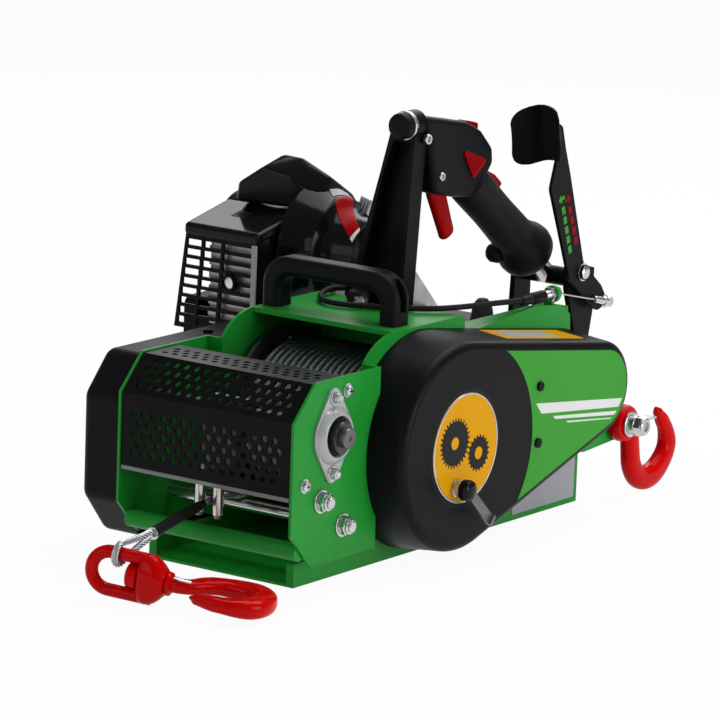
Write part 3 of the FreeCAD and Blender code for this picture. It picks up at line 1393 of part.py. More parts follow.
def shroud_outline(inset):
    front = SHROUD_FRONT_Y + inset
    rear = SHROUD_REAR_Y + (30 if inset else 0)
    low = SHROUD_LOW_Z - (30 if inset else 0)
    slope = (SHROUD_REAR_Z - SHROUD_FRONT_Z) / (SHROUD_REAR_Y - SHROUD_FRONT_Y)
    rear_z = SHROUD_FRONT_Z + slope * (rear - SHROUD_FRONT_Y)
    return [(front, low), (front, SHROUD_FRONT_Z - inset), (rear, rear_z - inset), (rear, low)]


def engine_shroud():
    """Cylinder shroud: top and side skins, open at the front for the grille."""
    body = outline_x(shroud_outline(0), SHROUD_LEFT_X, FAN_LEFT_X)
    room = outline_x(shroud_outline(SHROUD_WALL), SHROUD_LEFT_X + SHROUD_WALL, FAN_LEFT_X - SHROUD_WALL)
    mouth = box(SHROUD_LEFT_X + SHROUD_WALL, FAN_LEFT_X - SHROUD_WALL, 0, SHROUD_FRONT_Y + 20,
                0, SHROUD_FRONT_Z - 10)
    left_room = box(SHROUD_LEFT_X - 1, SHROUD_LEFT_X + SHROUD_WALL + 1, SHROUD_FRONT_Y - 1, SHROUD_REAR_Y + 1,
                    0, SHROUD_FRONT_Z - 10)
    return cut(body, [room, mouth, left_room] + block_room())


def muffler_guard():
    """Slotted heat guard in front of the muffler, spread at its foot."""
    y0 = SHROUD_FRONT_Y
    left_top = SHROUD_LEFT_X
    left_low = SHROUD_LEFT_X - GRILLE_SPREAD
    right = FAN_LEFT_X
    top = SHROUD_FRONT_Z - 10
    low = SHROUD_LOW_Z - 6
    edge = right - SHROUD_WALL
    plate = outline_y([(left_low, low), (left_top, top), (edge, top), (edge, low)], y0, y0 + 3)
    slots = []
    columns = ((0.04, 0.24), (0.28, 0.52), (0.56, 0.96))
    rows = 9
    pitch = (top - low - 6) / rows
    for row in range(rows):
        z0 = low + 5 + row * pitch
        share = (z0 - low) / (top - low)
        left = left_low + share * (left_top - left_low)
        width = right - SHROUD_WALL - left
        for a, b in columns:
            slots.append(box(left + a * width, left + b * width, y0 - 1, y0 + 5, z0, z0 + pitch - 3.6))
    return plate.cut(Part.makeCompound(slots))


def muffler():
    """Ribbed muffler box with its outlet boss."""
    y0 = SHROUD_FRONT_Y + 8
    left = BLOCK_LEFT_X + 4
    right = FAN_LEFT_X - 8
    body = box(left, right, y0, y0 + 30, SHROUD_LOW_Z + 2, SHROUD_FRONT_Z - 16)
    ribs = []
    for i in range(6):
        z = SHROUD_LOW_Z + 9 + 14 * i
        ribs.append(box(left - 1, right + 1, y0 - 1.5, y0 + 10, z, z + 6))
    outlet = Part.makeCylinder(8, 5.5, V(BLOCK_MID_X, y0 - 5, CRANK_Z - 30), Y_AXIS)
    neck = box(BLOCK_MID_X - 11, BLOCK_MID_X + 11, y0 + 29, CRANK_Y - 18, CRANK_Z - 16, CRANK_Z + 2)
    return fuse([body] + ribs + [outlet, cut(neck, block_room())])


def top_cover():
    """Faceted helmet over the cylinder."""
    levels = (
        (32, -63, 61, -50, 64),
        (50, -57, 61, -56, 68),
        (74, -35, 33, -36, 50),
        (85, -21, 11, -18, 32),
    )
    middle = V(BLOCK_MID_X, CRANK_Y, CRANK_Z)
    wires = []
    for z, x0, x1, y0, y1 in levels:
        corners = [
            (x0, y0 + 14), (x0 + 14, y0), (x1 - 14, y0), (x1, y0 + 14),
            (x1, y1 - 14), (x1 - 14, y1), (x0 + 14, y1), (x0, y1 - 14),
        ]
        points = [middle + V(x, y, z) for x, y in corners]
        wires.append(Part.makePolygon(points + points[:1]))
    body = Part.makeLoft(wires, True, True)
    room = Part.makeCylinder(FIN_R + 1, CYLINDER_H + 4, middle)
    fan = rod_x(FAN_LEFT_X, CASE_LEFT_X + 1, CRANK_Y, CRANK_Z, FAN_R + GAP)
    skin = outline_x(shroud_outline(0), SHROUD_LEFT_X, FAN_LEFT_X)
    starter = rod_x(STARTER_LEFT_X - 1, BLOCK_LEFT_X, CRANK_Y, CRANK_Z, STARTER_R + GAP)
    return cut(body, [room, fan, skin, starter])


def recoil_starter():
    """Rope starter on the left end of the engine."""
    body = rod_x(STARTER_LEFT_X, BLOCK_LEFT_X - STARTER_GAP, CRANK_Y, CRANK_Z, STARTER_R)
    shroud = box(SHROUD_LEFT_X - GAP, 0, SHROUD_FRONT_Y, SHROUD_REAR_Y + GAP, SHROUD_FRONT_Z - 11, 400)
    guide = box(STARTER_LEFT_X + 4, BLOCK_LEFT_X - 8, CRANK_Y + STARTER_R - 10, CRANK_Y + GUIDE_REACH,
                CRANK_Z - 10, CRANK_Z + 10)
    pull = Part.makeCylinder(2.6, GUIDE_REACH + 20, V(grip_x(), CRANK_Y, CRANK_Z), Y_AXIS)
    return cut(fuse([body, guide]), [shroud, pull])


def grip_x():
    return (STARTER_LEFT_X + BLOCK_LEFT_X) / 2 - 2


def starter_grip():
    """Pull grip of the starter with the end of its cord."""
    y0 = CRANK_Y + GUIDE_REACH + GAP
    bar = Part.makeCylinder(7, 44, V(grip_x(), y0 + 8, CRANK_Z - 22))
    stem = Part.makeCylinder(6, 8, V(grip_x(), y0, CRANK_Z), Y_AXIS)
    cord = Part.makeCylinder(2.2, 40, V(grip_x(), y0 - 38, CRANK_Z), Y_AXIS)
    return fuse([bar, stem, cord])


def fuel_tank():
    body = box(TANK_LEFT_X, FAN_LEFT_X, CRANK_Y - TANK_FRONT, TANK_REAR_Y, TANK_LOW_Z, TANK_TOP_Z)
    body = body.makeFillet(10, [edge for edge in body.Edges if edge.BoundBox.XLength > 1])
    block = rod_x(TANK_LEFT_X - 1, FAN_LEFT_X + 1, CRANK_Y, CRANK_Z - CRANKCASE_DROP, CRANKCASE_R + GAP)
    starter = rod_x(STARTER_LEFT_X - GAP, BLOCK_LEFT_X, CRANK_Y, CRANK_Z, STARTER_R + GAP)
    skin = outline_x(shroud_outline(0), SHROUD_LEFT_X, FAN_LEFT_X)
    neck = Part.makeCylinder(14, 8, V(cap_x(), TANK_REAR_Y - 1, TANK_MID_Z), Y_AXIS)
    return fuse([cut(body, [block, starter, skin]), neck])


def cap_x():
    return (TANK_LEFT_X + FAN_LEFT_X) / 2


def fuel_cap():
    x = cap_x()
    y = TANK_REAR_Y + 7 + GAP
    cap = Part.makeCylinder(20, 14, V(x, y, TANK_MID_Z), Y_AXIS)
    knob = box(x - 18, x + 18, TANK_REAR_Y + 20, TANK_REAR_Y + 28, TANK_MID_Z - 4, TANK_MID_Z + 4)
    return fuse([cap, knob])


def air_filter():
    """Air filter box behind the cylinder, on the carburettor throat."""
    front = CRANK_Y + FILTER_BACK
    body = box(BLOCK_LEFT_X, FAN_LEFT_X - FILTER_GAP, front, front + FILTER_DEPTH,
               CRANK_Z - FILTER_DROP, CRANK_Z + FILTER_RISE)
    body = body.makeFillet(FILTER_ROUND, body.Edges)
    throat_y = CRANK_Y + CYLINDER_R
    throat_at = V(BLOCK_MID_X, throat_y, CRANK_Z + THROAT_RISE)
    throat = Part.makeCylinder(THROAT_R, front + 1 - throat_y, throat_at, Y_AXIS)
    return cut(fuse([body, throat]), block_room())


PARTS = {
    "base_pan": base_pan,
    "right_side_plate": right_side_plate,
    "left_side_plate": left_side_plate,
    "top_deck": top_deck,
    "front_tie_bar": front_tie_bar,
    "rope_guard": rope_guard,
    "guide_rods": guide_rods,
    "flange_bearings": flange_bearings,
    "frame_fasteners": frame_fasteners,
    "cover_screws": cover_screws,
    "right_chain_cover": right_chain_cover,
    "cover_disc": cover_disc,
    "left_chain_cover": left_chain_cover,
    "drive_chain": drive_chain,
    "level_wind_chain": level_wind_chain,
    "primary_chain": primary_chain,
    "drum": drum,
    "drum_sprockets": drum_sprockets,
    "rope_winding": rope_winding,
    "jackshaft": jackshaft,
    "level_wind_screw": level_wind_screw,
    "carriage": carriage,
    "left_roller": lambda: roller(roller_places()[0]),
    "right_roller": lambda: roller(roller_places()[1]),
    "rope_lead": rope_lead,
    "rope_eye": rope_eye,
    "swivel_bow": swivel_bow,
    "rope_hook": rope_hook,
    "rear_hook": rear_hook,
    "rear_latch": rear_latch,
    "anchor_bolt": anchor_bolt,
    "carry_handle": carry_handle,
    "handle_bracket": handle_bracket,
    "handle_tube": handle_tube,
    "throttle_housing": throttle_housing,
    "handle_grip": handle_grip,
    "throttle_trigger": throttle_trigger,
    "throttle_lock": throttle_lock,
    "stop_switch": stop_switch,
    "hold_button": hold_button,
    "rear_handle_bracket": rear_handle_bracket,
    "start_lever": start_lever,
    "cable_adjuster": cable_adjuster,
    "cable_wire": cable_wire,
    "control_cable": control_cable,
    "free_spool_lever": free_spool_lever,
    "gear_case": gear_case,
    "fan_housing": fan_housing,
    "engine_block": engine_block,
    "crankshaft": crankshaft,
    "clutch_drum": clutch_drum,
    "engine_shroud": engine_shroud,
    "muffler_guard": muffler_guard,
    "muffler": muffler,
    "top_cover": top_cover,
    "recoil_starter": recoil_starter,
    "starter_grip": starter_grip,
    "fuel_tank": fuel_tank,
    "fuel_cap": fuel_cap,
    "air_filter": air_filter,
}


def main():
    os.makedirs("parts", exist_ok=True)
    for name, make in PARTS.items():
        shape = make()
        solids = shape.Solids
        if not shape.isValid() or not solids:
            print("check", name, "valid", shape.isValid(), "solids", len(solids))
        shape.exportStep("parts/%s.step" % name)
    print("pieces written:", len(PARTS))


main()
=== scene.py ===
import json
import math

import bmesh
import bpy
from mathutils import Matrix, Vector


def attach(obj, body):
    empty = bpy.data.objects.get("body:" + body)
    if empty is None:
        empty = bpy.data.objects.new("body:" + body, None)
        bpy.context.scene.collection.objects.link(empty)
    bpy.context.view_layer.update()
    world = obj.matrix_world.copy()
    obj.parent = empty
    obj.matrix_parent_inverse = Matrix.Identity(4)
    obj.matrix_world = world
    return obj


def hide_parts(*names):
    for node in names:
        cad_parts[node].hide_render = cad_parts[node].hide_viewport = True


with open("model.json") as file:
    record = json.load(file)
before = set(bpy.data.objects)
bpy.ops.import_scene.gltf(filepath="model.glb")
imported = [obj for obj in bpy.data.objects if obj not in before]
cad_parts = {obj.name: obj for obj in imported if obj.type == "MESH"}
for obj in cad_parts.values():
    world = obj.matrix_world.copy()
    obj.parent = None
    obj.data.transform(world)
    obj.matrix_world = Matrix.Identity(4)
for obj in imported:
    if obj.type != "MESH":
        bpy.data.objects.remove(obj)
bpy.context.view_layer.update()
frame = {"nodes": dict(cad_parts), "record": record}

# Shapes are written in millimetres, in the frame of the CAD model, and become metres in piece().
MM = 0.001
RIGHT = Vector((1, 0, 0))
FRONT = Vector((0, -1, 0))
REAR = Vector((0, 1, 0))
UP = Vector((0, 0, 1))
CORNER_STEPS = 6

# Camera, floor and light, in metres and watts
CAMERA_PLACE = (2.8630, -4.0064, 1.2293)
CAMERA_RIGHT = (0.8105, 0.5847, 0.0352)
CAMERA_UP = (-0.1493, 0.1482, 0.9776)
CAMERA_BACK = (0.5664, -0.7976, 0.2074)
CAMERA_LENS = 248.5
SENSOR = 36.0
VIEW_END = 60.0
FLOOR_HALF = 14.0
FLOOR_DROP = 0.0006
LAMP_TARGET = (0.0, 0.0, 0.15)
LAMPS = (
    ("top", (0.1, 1.0, 2.5), (2.2, 2.0), 52.0),
    ("right", (2.7, 0.1, 0.6), (1.6, 1.2), 30.0),
    ("front", (-0.7, -2.8, 1.1), (2.0, 1.4), 13.0),
    ("rear", (-1.2, 2.4, 1.6), (2.0, 1.4), 22.0),
)
SKY_STRENGTH = 0.24

# Drum, jackshaft and rope; the routes are in metres
DRUM_Z = 118.0
JACK_Y = 255.0
JACK_Z = 138.0
WIND_R = 77.55
WIND_STEPS = 96
ROPE_R = 3.5
ROPE_PITCH = 7.8
ROPE_TURNS = 18
ROPE_LAY = 46.0
EYE_LAY = 30.0
STRANDS = 6
STRAND_SIDES = 7
ROPE_ROUTE = (
    (-0.015, -0.0483, 0.0486), (-0.015, -0.147, 0.0685), (-0.015, -0.202, 0.074), (-0.0072, -0.3012, 0.0572),
)
CABLE_ROUTE = (
    (0.086, 0.198, 0.231), (0.085, 0.140, 0.236), (0.080, 0.092, 0.238), (0.058, 0.060, 0.237),
    (0.020, 0.036, 0.237), (-0.014, 0.018, 0.237), (-0.042, 0.015, 0.2375), (-0.062, 0.036, 0.2385),
    (-0.072, 0.071, 0.2395), (-0.0645, 0.086, 0.238),
)
CABLE_R = 3.0
SLEEVE_FROM_Y = -212.0

# Swivel at the end of the rope: origin and directions of its bow
BOW_START = Vector((-37.0, -367.0, 32.5))
BOW_ALONG = Vector((0.94849, 0.29906, -0.10453))
BOW_SIDE = Vector((-0.30071, 0.95372, 0.0))
BOW_UP = Vector((0.09969, 0.03143, 0.99452))
BOW_HALF = 19.0
BOW_BAR_R = 6.5
EYE_AT = 34.0
EYE_R = 10.6
HEAD_AT = 44.0
COLLAR_AT = 84.3

# Front box with the level wind; a bearing is x, y, z, the way that it faces and its radius
BOX_X = 108.0
INNER_X = 89.5
SHEET_T = 3.0
SCREW = (-170.0, 152.0)
RODS = ((-184.0, 88.0), (-147.0, 58.0))
GUARD_SCREWS = ((-212.0, 108.0), (-146.0, 193.0))
BEARINGS = (
    (BOX_X, *SCREW, 1, 30.0),
    (INNER_X, 0, DRUM_Z, 1, 30.0),
    (INNER_X - SHEET_T, JACK_Y, JACK_Z, -1, 20.5),
)
FLANGE_T = 3.0
INSERT_MIN_R = 6.0
EAR_SPAN = 38.0
EAR_R = 9.5
EAR_NUT_LIFT = 2.4
EAR_NUT_R = 6.2
EAR_STUD_R = 3.6
ROD_NUT_R = 10.0
ROD_STUD_R = 5.4
SLOT_HALF = 2.6
SLOT_T = 0.6
HEM = (-231.0, -228.0, 93.5, 98.4)
HEM_X = 103.5

# Rear anchor
ANCHOR_Y = 357.0
ANCHOR_Z = 79.0
HOOK_X = 110.0
ANCHOR_NUT_X = 118.8

# Right chain cover with its labels, disc and free spool lever
COVER_FACE_X = 150.0
DISC_R = 56.0
DISC_FACE_X = 151.5
FLAT_BIG_R = 97.5
FLAT_TAIL_R = 41.0
DECAL_ARC = (12.0, 113.0)
DECAL_ARC_R = 109.4
DECAL_T = 0.3
STRIPES = (
    ((126.0, 143.2), (288.7, 123.3), (282.1, 115.0), (136.7, 130.9)),
    ((158.3, 124.9), (279.7, 111.2), (274.6, 107.7), (162.5, 121.2)),
    ((183.8, 115.7), (270.3, 105.4), (268.2, 104.5), (186.1, 113.7)),
)
RATING = (181.0, 297.0, 6.0, 66.0)
RATING_T = 0.5
PLATE_X = 89.5
TOP_NORMAL = (0.099, 0.1444, 0.9895)
TOP_LEVEL = 237.5
PICTOGRAMS = ((-19.4, 125.6, 25.9, 30), (22.7, 109.2, 18.9, 20))
TOOTH_SHARE = 0.12
SPOOL_Y = -14.0
SPOOL_Z = 79.0
SPOOL_TURN = math.radians(-43)
SPOOL_ARM = 56.0
SPOOL_HALF = 5.6
SPOOL_LIP = 4.0

# Handle and controls; outlines are (y, z) points
HANDLE_X = 20.0
TUBE_FRONT = Vector((HANDLE_X, 57.0, 420.6))
TUBE_BEND = Vector((HANDLE_X, 84.0, 419.5))
TUBE_REAR = Vector((HANDLE_X, 332.0, 231.5))
TUBE_WAY = (TUBE_REAR - TUBE_BEND).normalized()
HOUSING_X = (2.0, 38.0)
HOUSING = (
    (72, 431), (150, 417), (176, 405), (197, 385), (199, 369), (184, 350), (160, 337), (128, 341), (94, 349),
    (84, 398),
)
HOUSING_ROUND = (6, 20, 16, 10, 10, 8, 10, 12, 8, 12)
HOUSING_BOLTS = (
    ("housing_bolt_upper", (35.2, 78, 407), 5.6),
    ("housing_bolt_lower", (37.4, 102, 366), 4.6),
)
TRIGGER = (
    (117, 352), (119, 346), (124, 337), (129.5, 326), (135, 314.5), (140, 304.5), (142.5, 299), (143.5, 297),
)
# Flat controls: outline, corner radii, half thickness, edge radius and body
FLAT_CONTROLS = (
    ("lock_lever", ((190, 372), (203, 360), (222, 352), (236.5, 341), (229, 335), (202, 348), (189, 360)),
     (3, 6, 8, 3, 3, 6, 4), 4.8, 2.0, "throttle_lock"),
    ("hold_key", ((163, 396), (181, 397), (182.5, 411), (164, 415.5)), (1, 1, 3, 3), 7.6, 1.5, "hold_button"),
)
STOP_KEY = ((138.0, 390.0), (184.0, 374.0), (159.5, 356.5))
STOP_RIBS = 7
RIB_HALF = 0.8
GRIP_RINGS = 24
RING_FROM = 122.0
RING_PITCH = 4.4
LEVER_PIVOT = (308.0, 245.0)
LEVER_X = (78.0, 82.0)
LEVER_STRIP = (
    (-58, 166), (-49, 160), (-42, 137), (-31, 108), (2, 9), (38, -19), (46, -30), (46, -42), (32, -46),
    (11, -34), (-25, -4), (-39, 30), (-67, 96), (-58, 125),
)
LEVER_ROUND = (3, 6, 20, 20, 16, 8, 5, 5, 8, 16, 16, 30, 10, 14)
ARROW = ((0, 6), (5, 0.2), (2, 0.2), (2, -5.5), (-2, -5.5), (-2, 0.2), (-5, 0.2))
ARROW_RISE = 9.0
DASH_HALF = 3.0
DASH_SHARE = 0.74
PADDLE_Y = 248.0
PADDLE_BULGE = 9.0
PADDLE_LEAN = 5.0
PADDLE_T = 3.0
PADDLE_ROWS = 9
PADDLE = (
    (26.2, 372, 403), (27.0, 367.5, 407.5), (28.8, 363.5, 411.5), (32, 361, 415.5), (36.5, 360, 419),
    (44, 360.8, 422.6), (52, 363.8, 425.2), (60, 366.8, 426.2), (68, 368.6, 425.8), (75, 369.4, 424.2),
    (80, 369.8, 421.2), (84, 370, 414), (86, 371, 405), (87, 376, 396),
)
CLAMP = (352.0, 208.0)
WIRE_WAY = (0, -100, 24)
ADJUSTER_NUTS = (40.6, 51.2)
THREADS = 14
DECK_Z = 233.0
DECK_BOLTS = (((-58.0, 98.0, 245.0), 6.0), ((-11, 39, DECK_Z), 10.0))
DECK_BUSH = (-22, 50, DECK_Z)
TRAY_Z = 188.0

# Engine
FLARE = (
    (-160, 73), (-150, 66), (-142, 61), (-135, 57.4), (-129.6, 56.6), (-125, 49), (-118, 43.5), (-108, 40.2),
    (-88.6, 39),
)
CRANK = (168.0, 256.0)
OUTLET = Vector((-201.0, 68.0, 226.0))
HELMET = (
    (-236, 120, 303), (-140, 150, 300), (-232, 118, 322), (-205, 122, 341), (-172, 132, 334),
    (-142, 150, 309), (-195, 150, 354), (-172, 150, 353), (-150, 172, 333), (-238, 200, 325),
    (-200, 215, 330), (-150, 215, 308), (-240, 232, 290), (-150, 232, 290),
)
FINS = 4
FIN_X = -132.5
FIN_PITCH = 4.2
FIN_T = 2.4
FIN_ANGLES = (-15, 57)
FIN_STEPS = 24
FIN_ROOT_R = 46.0
FIN_R = 66.0
SHROUD_X = (-261.8, -164.2)
SHROUD_Y = (66.2, 142.0)
SHROUD_Z = (282.3, 299.3)
CAP_T = 12.5
LATCH = (-217.0, 108.0)
CASING = (-86.2, 56.8, 84.0, 274.0)
BREATHER = (15, 222, TRAY_Z)
GUARD_STRIP = (-172.0, -166.0, 176.0, 270.0)
GUARD_STRIP_Y = (65.8, 68.4)

# Colour sockets of the mix node, which has others of the same names
MIX_A = 6
MIX_B = 7
MIX_RESULT = 2


# Node materials
def shader(name):
    """New material with its node tree and principled shader."""
    paint = bpy.data.materials.new(name)
    paint.use_nodes = True
    return paint, paint.node_tree, paint.node_tree.nodes["Principled BSDF"]


def fill(tree, made, values):
    """Links or sets a node's inputs."""
    for key, value in values.items():
        if isinstance(value, bpy.types.NodeSocket):
            tree.links.new(value, made.inputs[key])
        else:
            made.inputs[key].default_value = value


def node(tree, kind, values, **settings):
    """New node with its settings and inputs; returns its outputs."""
    made = tree.nodes.new(kind)
    for key, value in settings.items():
        setattr(made, key, value)
    fill(tree, made, values)
    return made.outputs


def texture(tree, kind, scale, stretch=None, **values):
    """Texture in the frame's own coordinates; returns its outputs."""
    place = node(tree, "ShaderNodeTexCoord", {})["Object"]
    if stretch:
        place = node(tree, "ShaderNodeMapping", {"Vector": place, "Scale": stretch})["Vector"]
    return node(tree, kind, {"Vector": place, "Scale": scale, **values})


def noise(tree, scale, detail, stretch=None):
    return texture(tree, "ShaderNodeTexNoise", scale, stretch, Detail=detail)["Fac"]


def ramp(tree, source, first, last, low, high):
    """Maps a range of a source to a range of values."""
    values = {"Value": source, "From Min": first, "From Max": last, "To Min": low, "To Max": high}
    return node(tree, "ShaderNodeMapRange", values)["Result"]


def combined(tree, operation, first, second):
    return node(tree, "ShaderNodeMath", {0: first, 1: second}, operation=operation)["Value"]


def mixed(tree, factor, first, second):
    """Colour mix of two colours or sockets."""
    values = {"Factor": factor, MIX_A: first, MIX_B: second}
    return node(tree, "ShaderNodeMix", values, data_type="RGBA")[MIX_RESULT]


def relief(tree, height, strength, distance, edge):
    """Bump on top of softened edges."""
    soft = node(tree, "ShaderNodeBevel", {"Radius": edge * MM}, samples=4)["Normal"]
    values = {"Strength": strength, "Distance": distance * MM, "Height": height, "Normal": soft}
    return node(tree, "ShaderNodeBump", values)["Normal"]


def worn_and_lit_edges(tree, amount):
    """Mask of edges, broken up by noise: worn paint on most finishes, a painted highlight on the green."""
    edges = node(tree, "ShaderNodeNewGeometry", {})["Pointiness"]
    level = ramp(tree, edges, 0.56, 0.70, 0.0, amount)
    return combined(tree, "MULTIPLY", level, noise(tree, 300.0, 4.0))


def clouded(tree, cloud, colour, shade, rough, less, more):
    """Inputs for a colour and a roughness that follow a cloudy noise."""
    tint = mixed(tree, ramp(tree, cloud, 0.3, 0.7, 0.0, 1.0), (*colour, 1.0), (*shade, 1.0))
    return {"Base Color": tint, "Roughness": ramp(tree, cloud, 0.3, 0.7, rough - less, rough + more)}


def painted(name, colour, shade, rough, grain=900.0, bump=0.05, coat=0.0, wear_and_sheen=0.3, bare_and_sheen=(0.3, 0.3, 0.3),
            shine=0.12):
    """Powder coat or enamel with orange peel, faint dust and coloured edges: worn paint, and on the green a
    painted highlight.
    """
    paint, tree, skin = shader(name)
    values = clouded(tree, noise(tree, 14.0, 5.0), colour, shade, rough, 0.05, 0.06)
    values["Base Color"] = mixed(tree, worn_and_lit_edges(tree, wear_and_sheen), values["Base Color"], (*bare_and_sheen, 1.0))
    values["Normal"] = relief(tree, noise(tree, grain, 2.0), bump, 0.3, 0.6)
    coats = {"Specular IOR Level": shine, "Coat Weight": coat, "Coat Roughness": 0.12}
    fill(tree, skin, {**values, **coats})
    return paint


def moulded(name, colour, shade, rough, grain=1400.0, bump=0.25, edge=0.8, shine=0.1):
    """Moulded plastic or rubber with a fine grain."""
    paint, tree, skin = shader(name)
    values = clouded(tree, noise(tree, 9.0, 6.0), colour, shade, rough, 0.06, 0.07)
    cells = texture(tree, "ShaderNodeTexVoronoi", grain)["Distance"]
    values["Normal"] = relief(tree, cells, bump, 0.12, edge)
    fill(tree, skin, {**values, "Specular IOR Level": shine})
    return paint


def label(name, colour, shade, rough):
    """Printed film."""
    return moulded(name, colour, shade, rough, grain=800.0, bump=0.02, edge=0.05)


def metal(name, colour, shade, rough, grain=500.0, bump=0.08, stretch=None):
    """Bare or plated metal with a fine brushed or cast grain."""
    paint, tree, skin = shader(name)
    values = clouded(tree, noise(tree, 40.0, 6.0), colour, shade, rough, 0.08, 0.1)
    values["Normal"] = relief(tree, noise(tree, grain, 3.0, stretch), bump, 0.2, 0.5)
    fill(tree, skin, {**values, "Metallic": 1.0})
    return paint


# The green's edge colour is a lighter green: a painted highlight along the sheet edges.
GREEN = painted("green_coat", (0.011, 0.28, 0.027), (0.008, 0.23, 0.021), 0.34, coat=0.05, wear_and_sheen=0.6,
                bare_and_sheen=(0.06, 0.52, 0.1))
BLACK = painted("black_coat", (0.0035, 0.0035, 0.004), (0.006, 0.006, 0.0065), 0.36, grain=1300.0, bump=0.1,
                wear_and_sheen=0.08, bare_and_sheen=(0.05, 0.05, 0.05), shine=0.07)
RED = painted("red_enamel", (0.62, 0.0006, 0.0008), (0.50, 0.0004, 0.0008), 0.14, grain=120.0, bump=0.12,
              coat=0.05, wear_and_sheen=0.1, bare_and_sheen=(0.25, 0.01, 0.01), shine=0.06)
PLASTIC = moulded("cover_plastic", (0.0043, 0.0043, 0.0058), (0.0062, 0.0062, 0.0082), 0.4, shine=0.08)
GLOSS = moulded("shroud_plastic", (0.004, 0.004, 0.0045), (0.006, 0.006, 0.0065), 0.14, grain=200.0,
                bump=0.02, edge=2.5, shine=0.15)
RUBBER = moulded("grip_rubber", (0.009, 0.009, 0.0098), (0.013, 0.013, 0.014), 0.5, grain=900.0, bump=0.3)
RED_PLASTIC = moulded("control_red", (0.34, 0.001, 0.002), (0.26, 0.001, 0.002), 0.32, grain=700.0, bump=0.08,
                      shine=0.04)
AMBER = moulded("amber_label", (0.74, 0.35, 0.004), (0.68, 0.31, 0.003), 0.3, grain=900.0, bump=0.03,
                edge=0.05, shine=0.04)
LABEL_GREEN = label("label_green", (0.04, 0.32, 0.027), (0.035, 0.29, 0.023), 0.3)
LABEL_WHITE = label("label_white", (0.75, 0.76, 0.76), (0.70, 0.71, 0.72), 0.35)
LABEL_GREY = label("label_grey", (0.38, 0.39, 0.41), (0.33, 0.34, 0.36), 0.35)
LABEL_BLACK = label("label_black", (0.010, 0.010, 0.010), (0.014, 0.014, 0.014), 0.4)
PLATED = painted("plated_sheet", (0.42, 0.43, 0.44), (0.34, 0.35, 0.36), 0.26, grain=300.0, coat=0.5,
                 wear_and_sheen=0.0, shine=1.0)
BLUED = painted("blued_steel", (0.012, 0.012, 0.013), (0.02, 0.02, 0.022), 0.22, coat=0.2, wear_and_sheen=0.0,
                shine=0.4)
CAST = painted("cast_grey", (0.075, 0.07, 0.075), (0.05, 0.047, 0.05), 0.5, grain=500.0, bump=0.2, wear_and_sheen=0.0)
MUFFLER = metal("muffler_steel", (0.36, 0.35, 0.34), (0.26, 0.25, 0.24), 0.42)
ZINC = metal("bright_zinc", (0.66, 0.66, 0.67), (0.54, 0.55, 0.57), 0.26)
STEEL = metal("polished_steel", (0.58, 0.57, 0.56), (0.50, 0.49, 0.48), 0.2, stretch=(3.0, 0.1, 3.0))
DARK_STEEL = metal("oiled_steel", (0.2, 0.2, 0.2), (0.14, 0.14, 0.14), 0.4)
WIRE = metal("galvanised_wire", (0.60, 0.62, 0.63), (0.42, 0.44, 0.45), 0.34, grain=1500.0, bump=0.2)
ALLOY = metal("cast_alloy", (0.56, 0.56, 0.57), (0.46, 0.46, 0.47), 0.42, grain=700.0, bump=0.25)

# Finishes of each slot of the record: CAD nodes take the first, and pieces take any
SLOT_PAINTS = {
    "black_paint": (BLACK,),
    "black_plastic": (PLASTIC, LABEL_BLACK),
    "black_rubber": (RUBBER,),
    "bright_zinc": (ZINC, LABEL_GREY, LABEL_WHITE, PLATED),
    "cast_aluminium": (ALLOY,),
    "dark_steel": (DARK_STEEL, BLUED, CAST),
    "galvanised_rope": (WIRE,),
    "gloss_black": (GLOSS,),
    "green_paint": (GREEN, LABEL_GREEN),
    "red_enamel": (RED,),
    "red_plastic": (RED_PLASTIC,),
    "yellow_disc": (AMBER,),
}
SLOTS = {paint.name: slot for slot, paints in SLOT_PAINTS.items() for paint in paints}

# CAD nodes whose finish isn't the first of their slot
NODE_PAINTS = {
    "cover_screws": BLACK,
    "muffler_guard": BLACK,
    "guide_rods": STEEL,
    "left_roller": STEEL,
    "right_roller": STEEL,
    "handle_tube": STEEL,
    "muffler": MUFFLER,
}

# Marks on the start lever: ends of a row of dashes, their count and the arrow's heading
LEVER_MARKS = (
    ("stop_mark", (276.5, 319), (294.5, 274), 4, 1, RED_PLASTIC),
    ("start_mark", (264.5, 320), (283.5, 266), 5, -1, LABEL_GREEN),
)

# Stripes on the fan shell, with their (station, angle) corners
SHELL_STRIPES = (
    ("stripe_green", ((-159.5, 92), (-158, 66), (-149, 66), (-151, 95)), LABEL_GREEN),
    ("stripe_grey", ((-147, 92), (-145, 64), (-136.5, 64), (-138, 97)), LABEL_GREY),
    ("stripe_red", ((-136, 98), (-134, 64), (-93, 122), (-97, 144)), RED_PLASTIC),
    ("stripe_white", ((-96.6, 145), (-92.6, 123), (-90, 128), (-92.5, 150)), LABEL_WHITE),
)


# Outlines and meshes, all in millimetres
def rectangle(u0, u1, v0, v1):
    """Corners of a flat rectangle."""
    return [(u0, v0), (u1, v0), (u1, v1), (u0, v1)]


def arc(centre, radius, first, last, steps=24):
    """Points on a flat arc between two angles."""
    turns = [first + (last - first) * i / steps for i in range(steps + 1)]
    return [(centre[0] + radius * math.cos(turn), centre[1] + radius * math.sin(turn)) for turn in turns]


def placed(outline, middle, way, side):
    """Flat outline laid along a way and a side from a middle."""
    return [middle + way * u + side * v for u, v in outline]


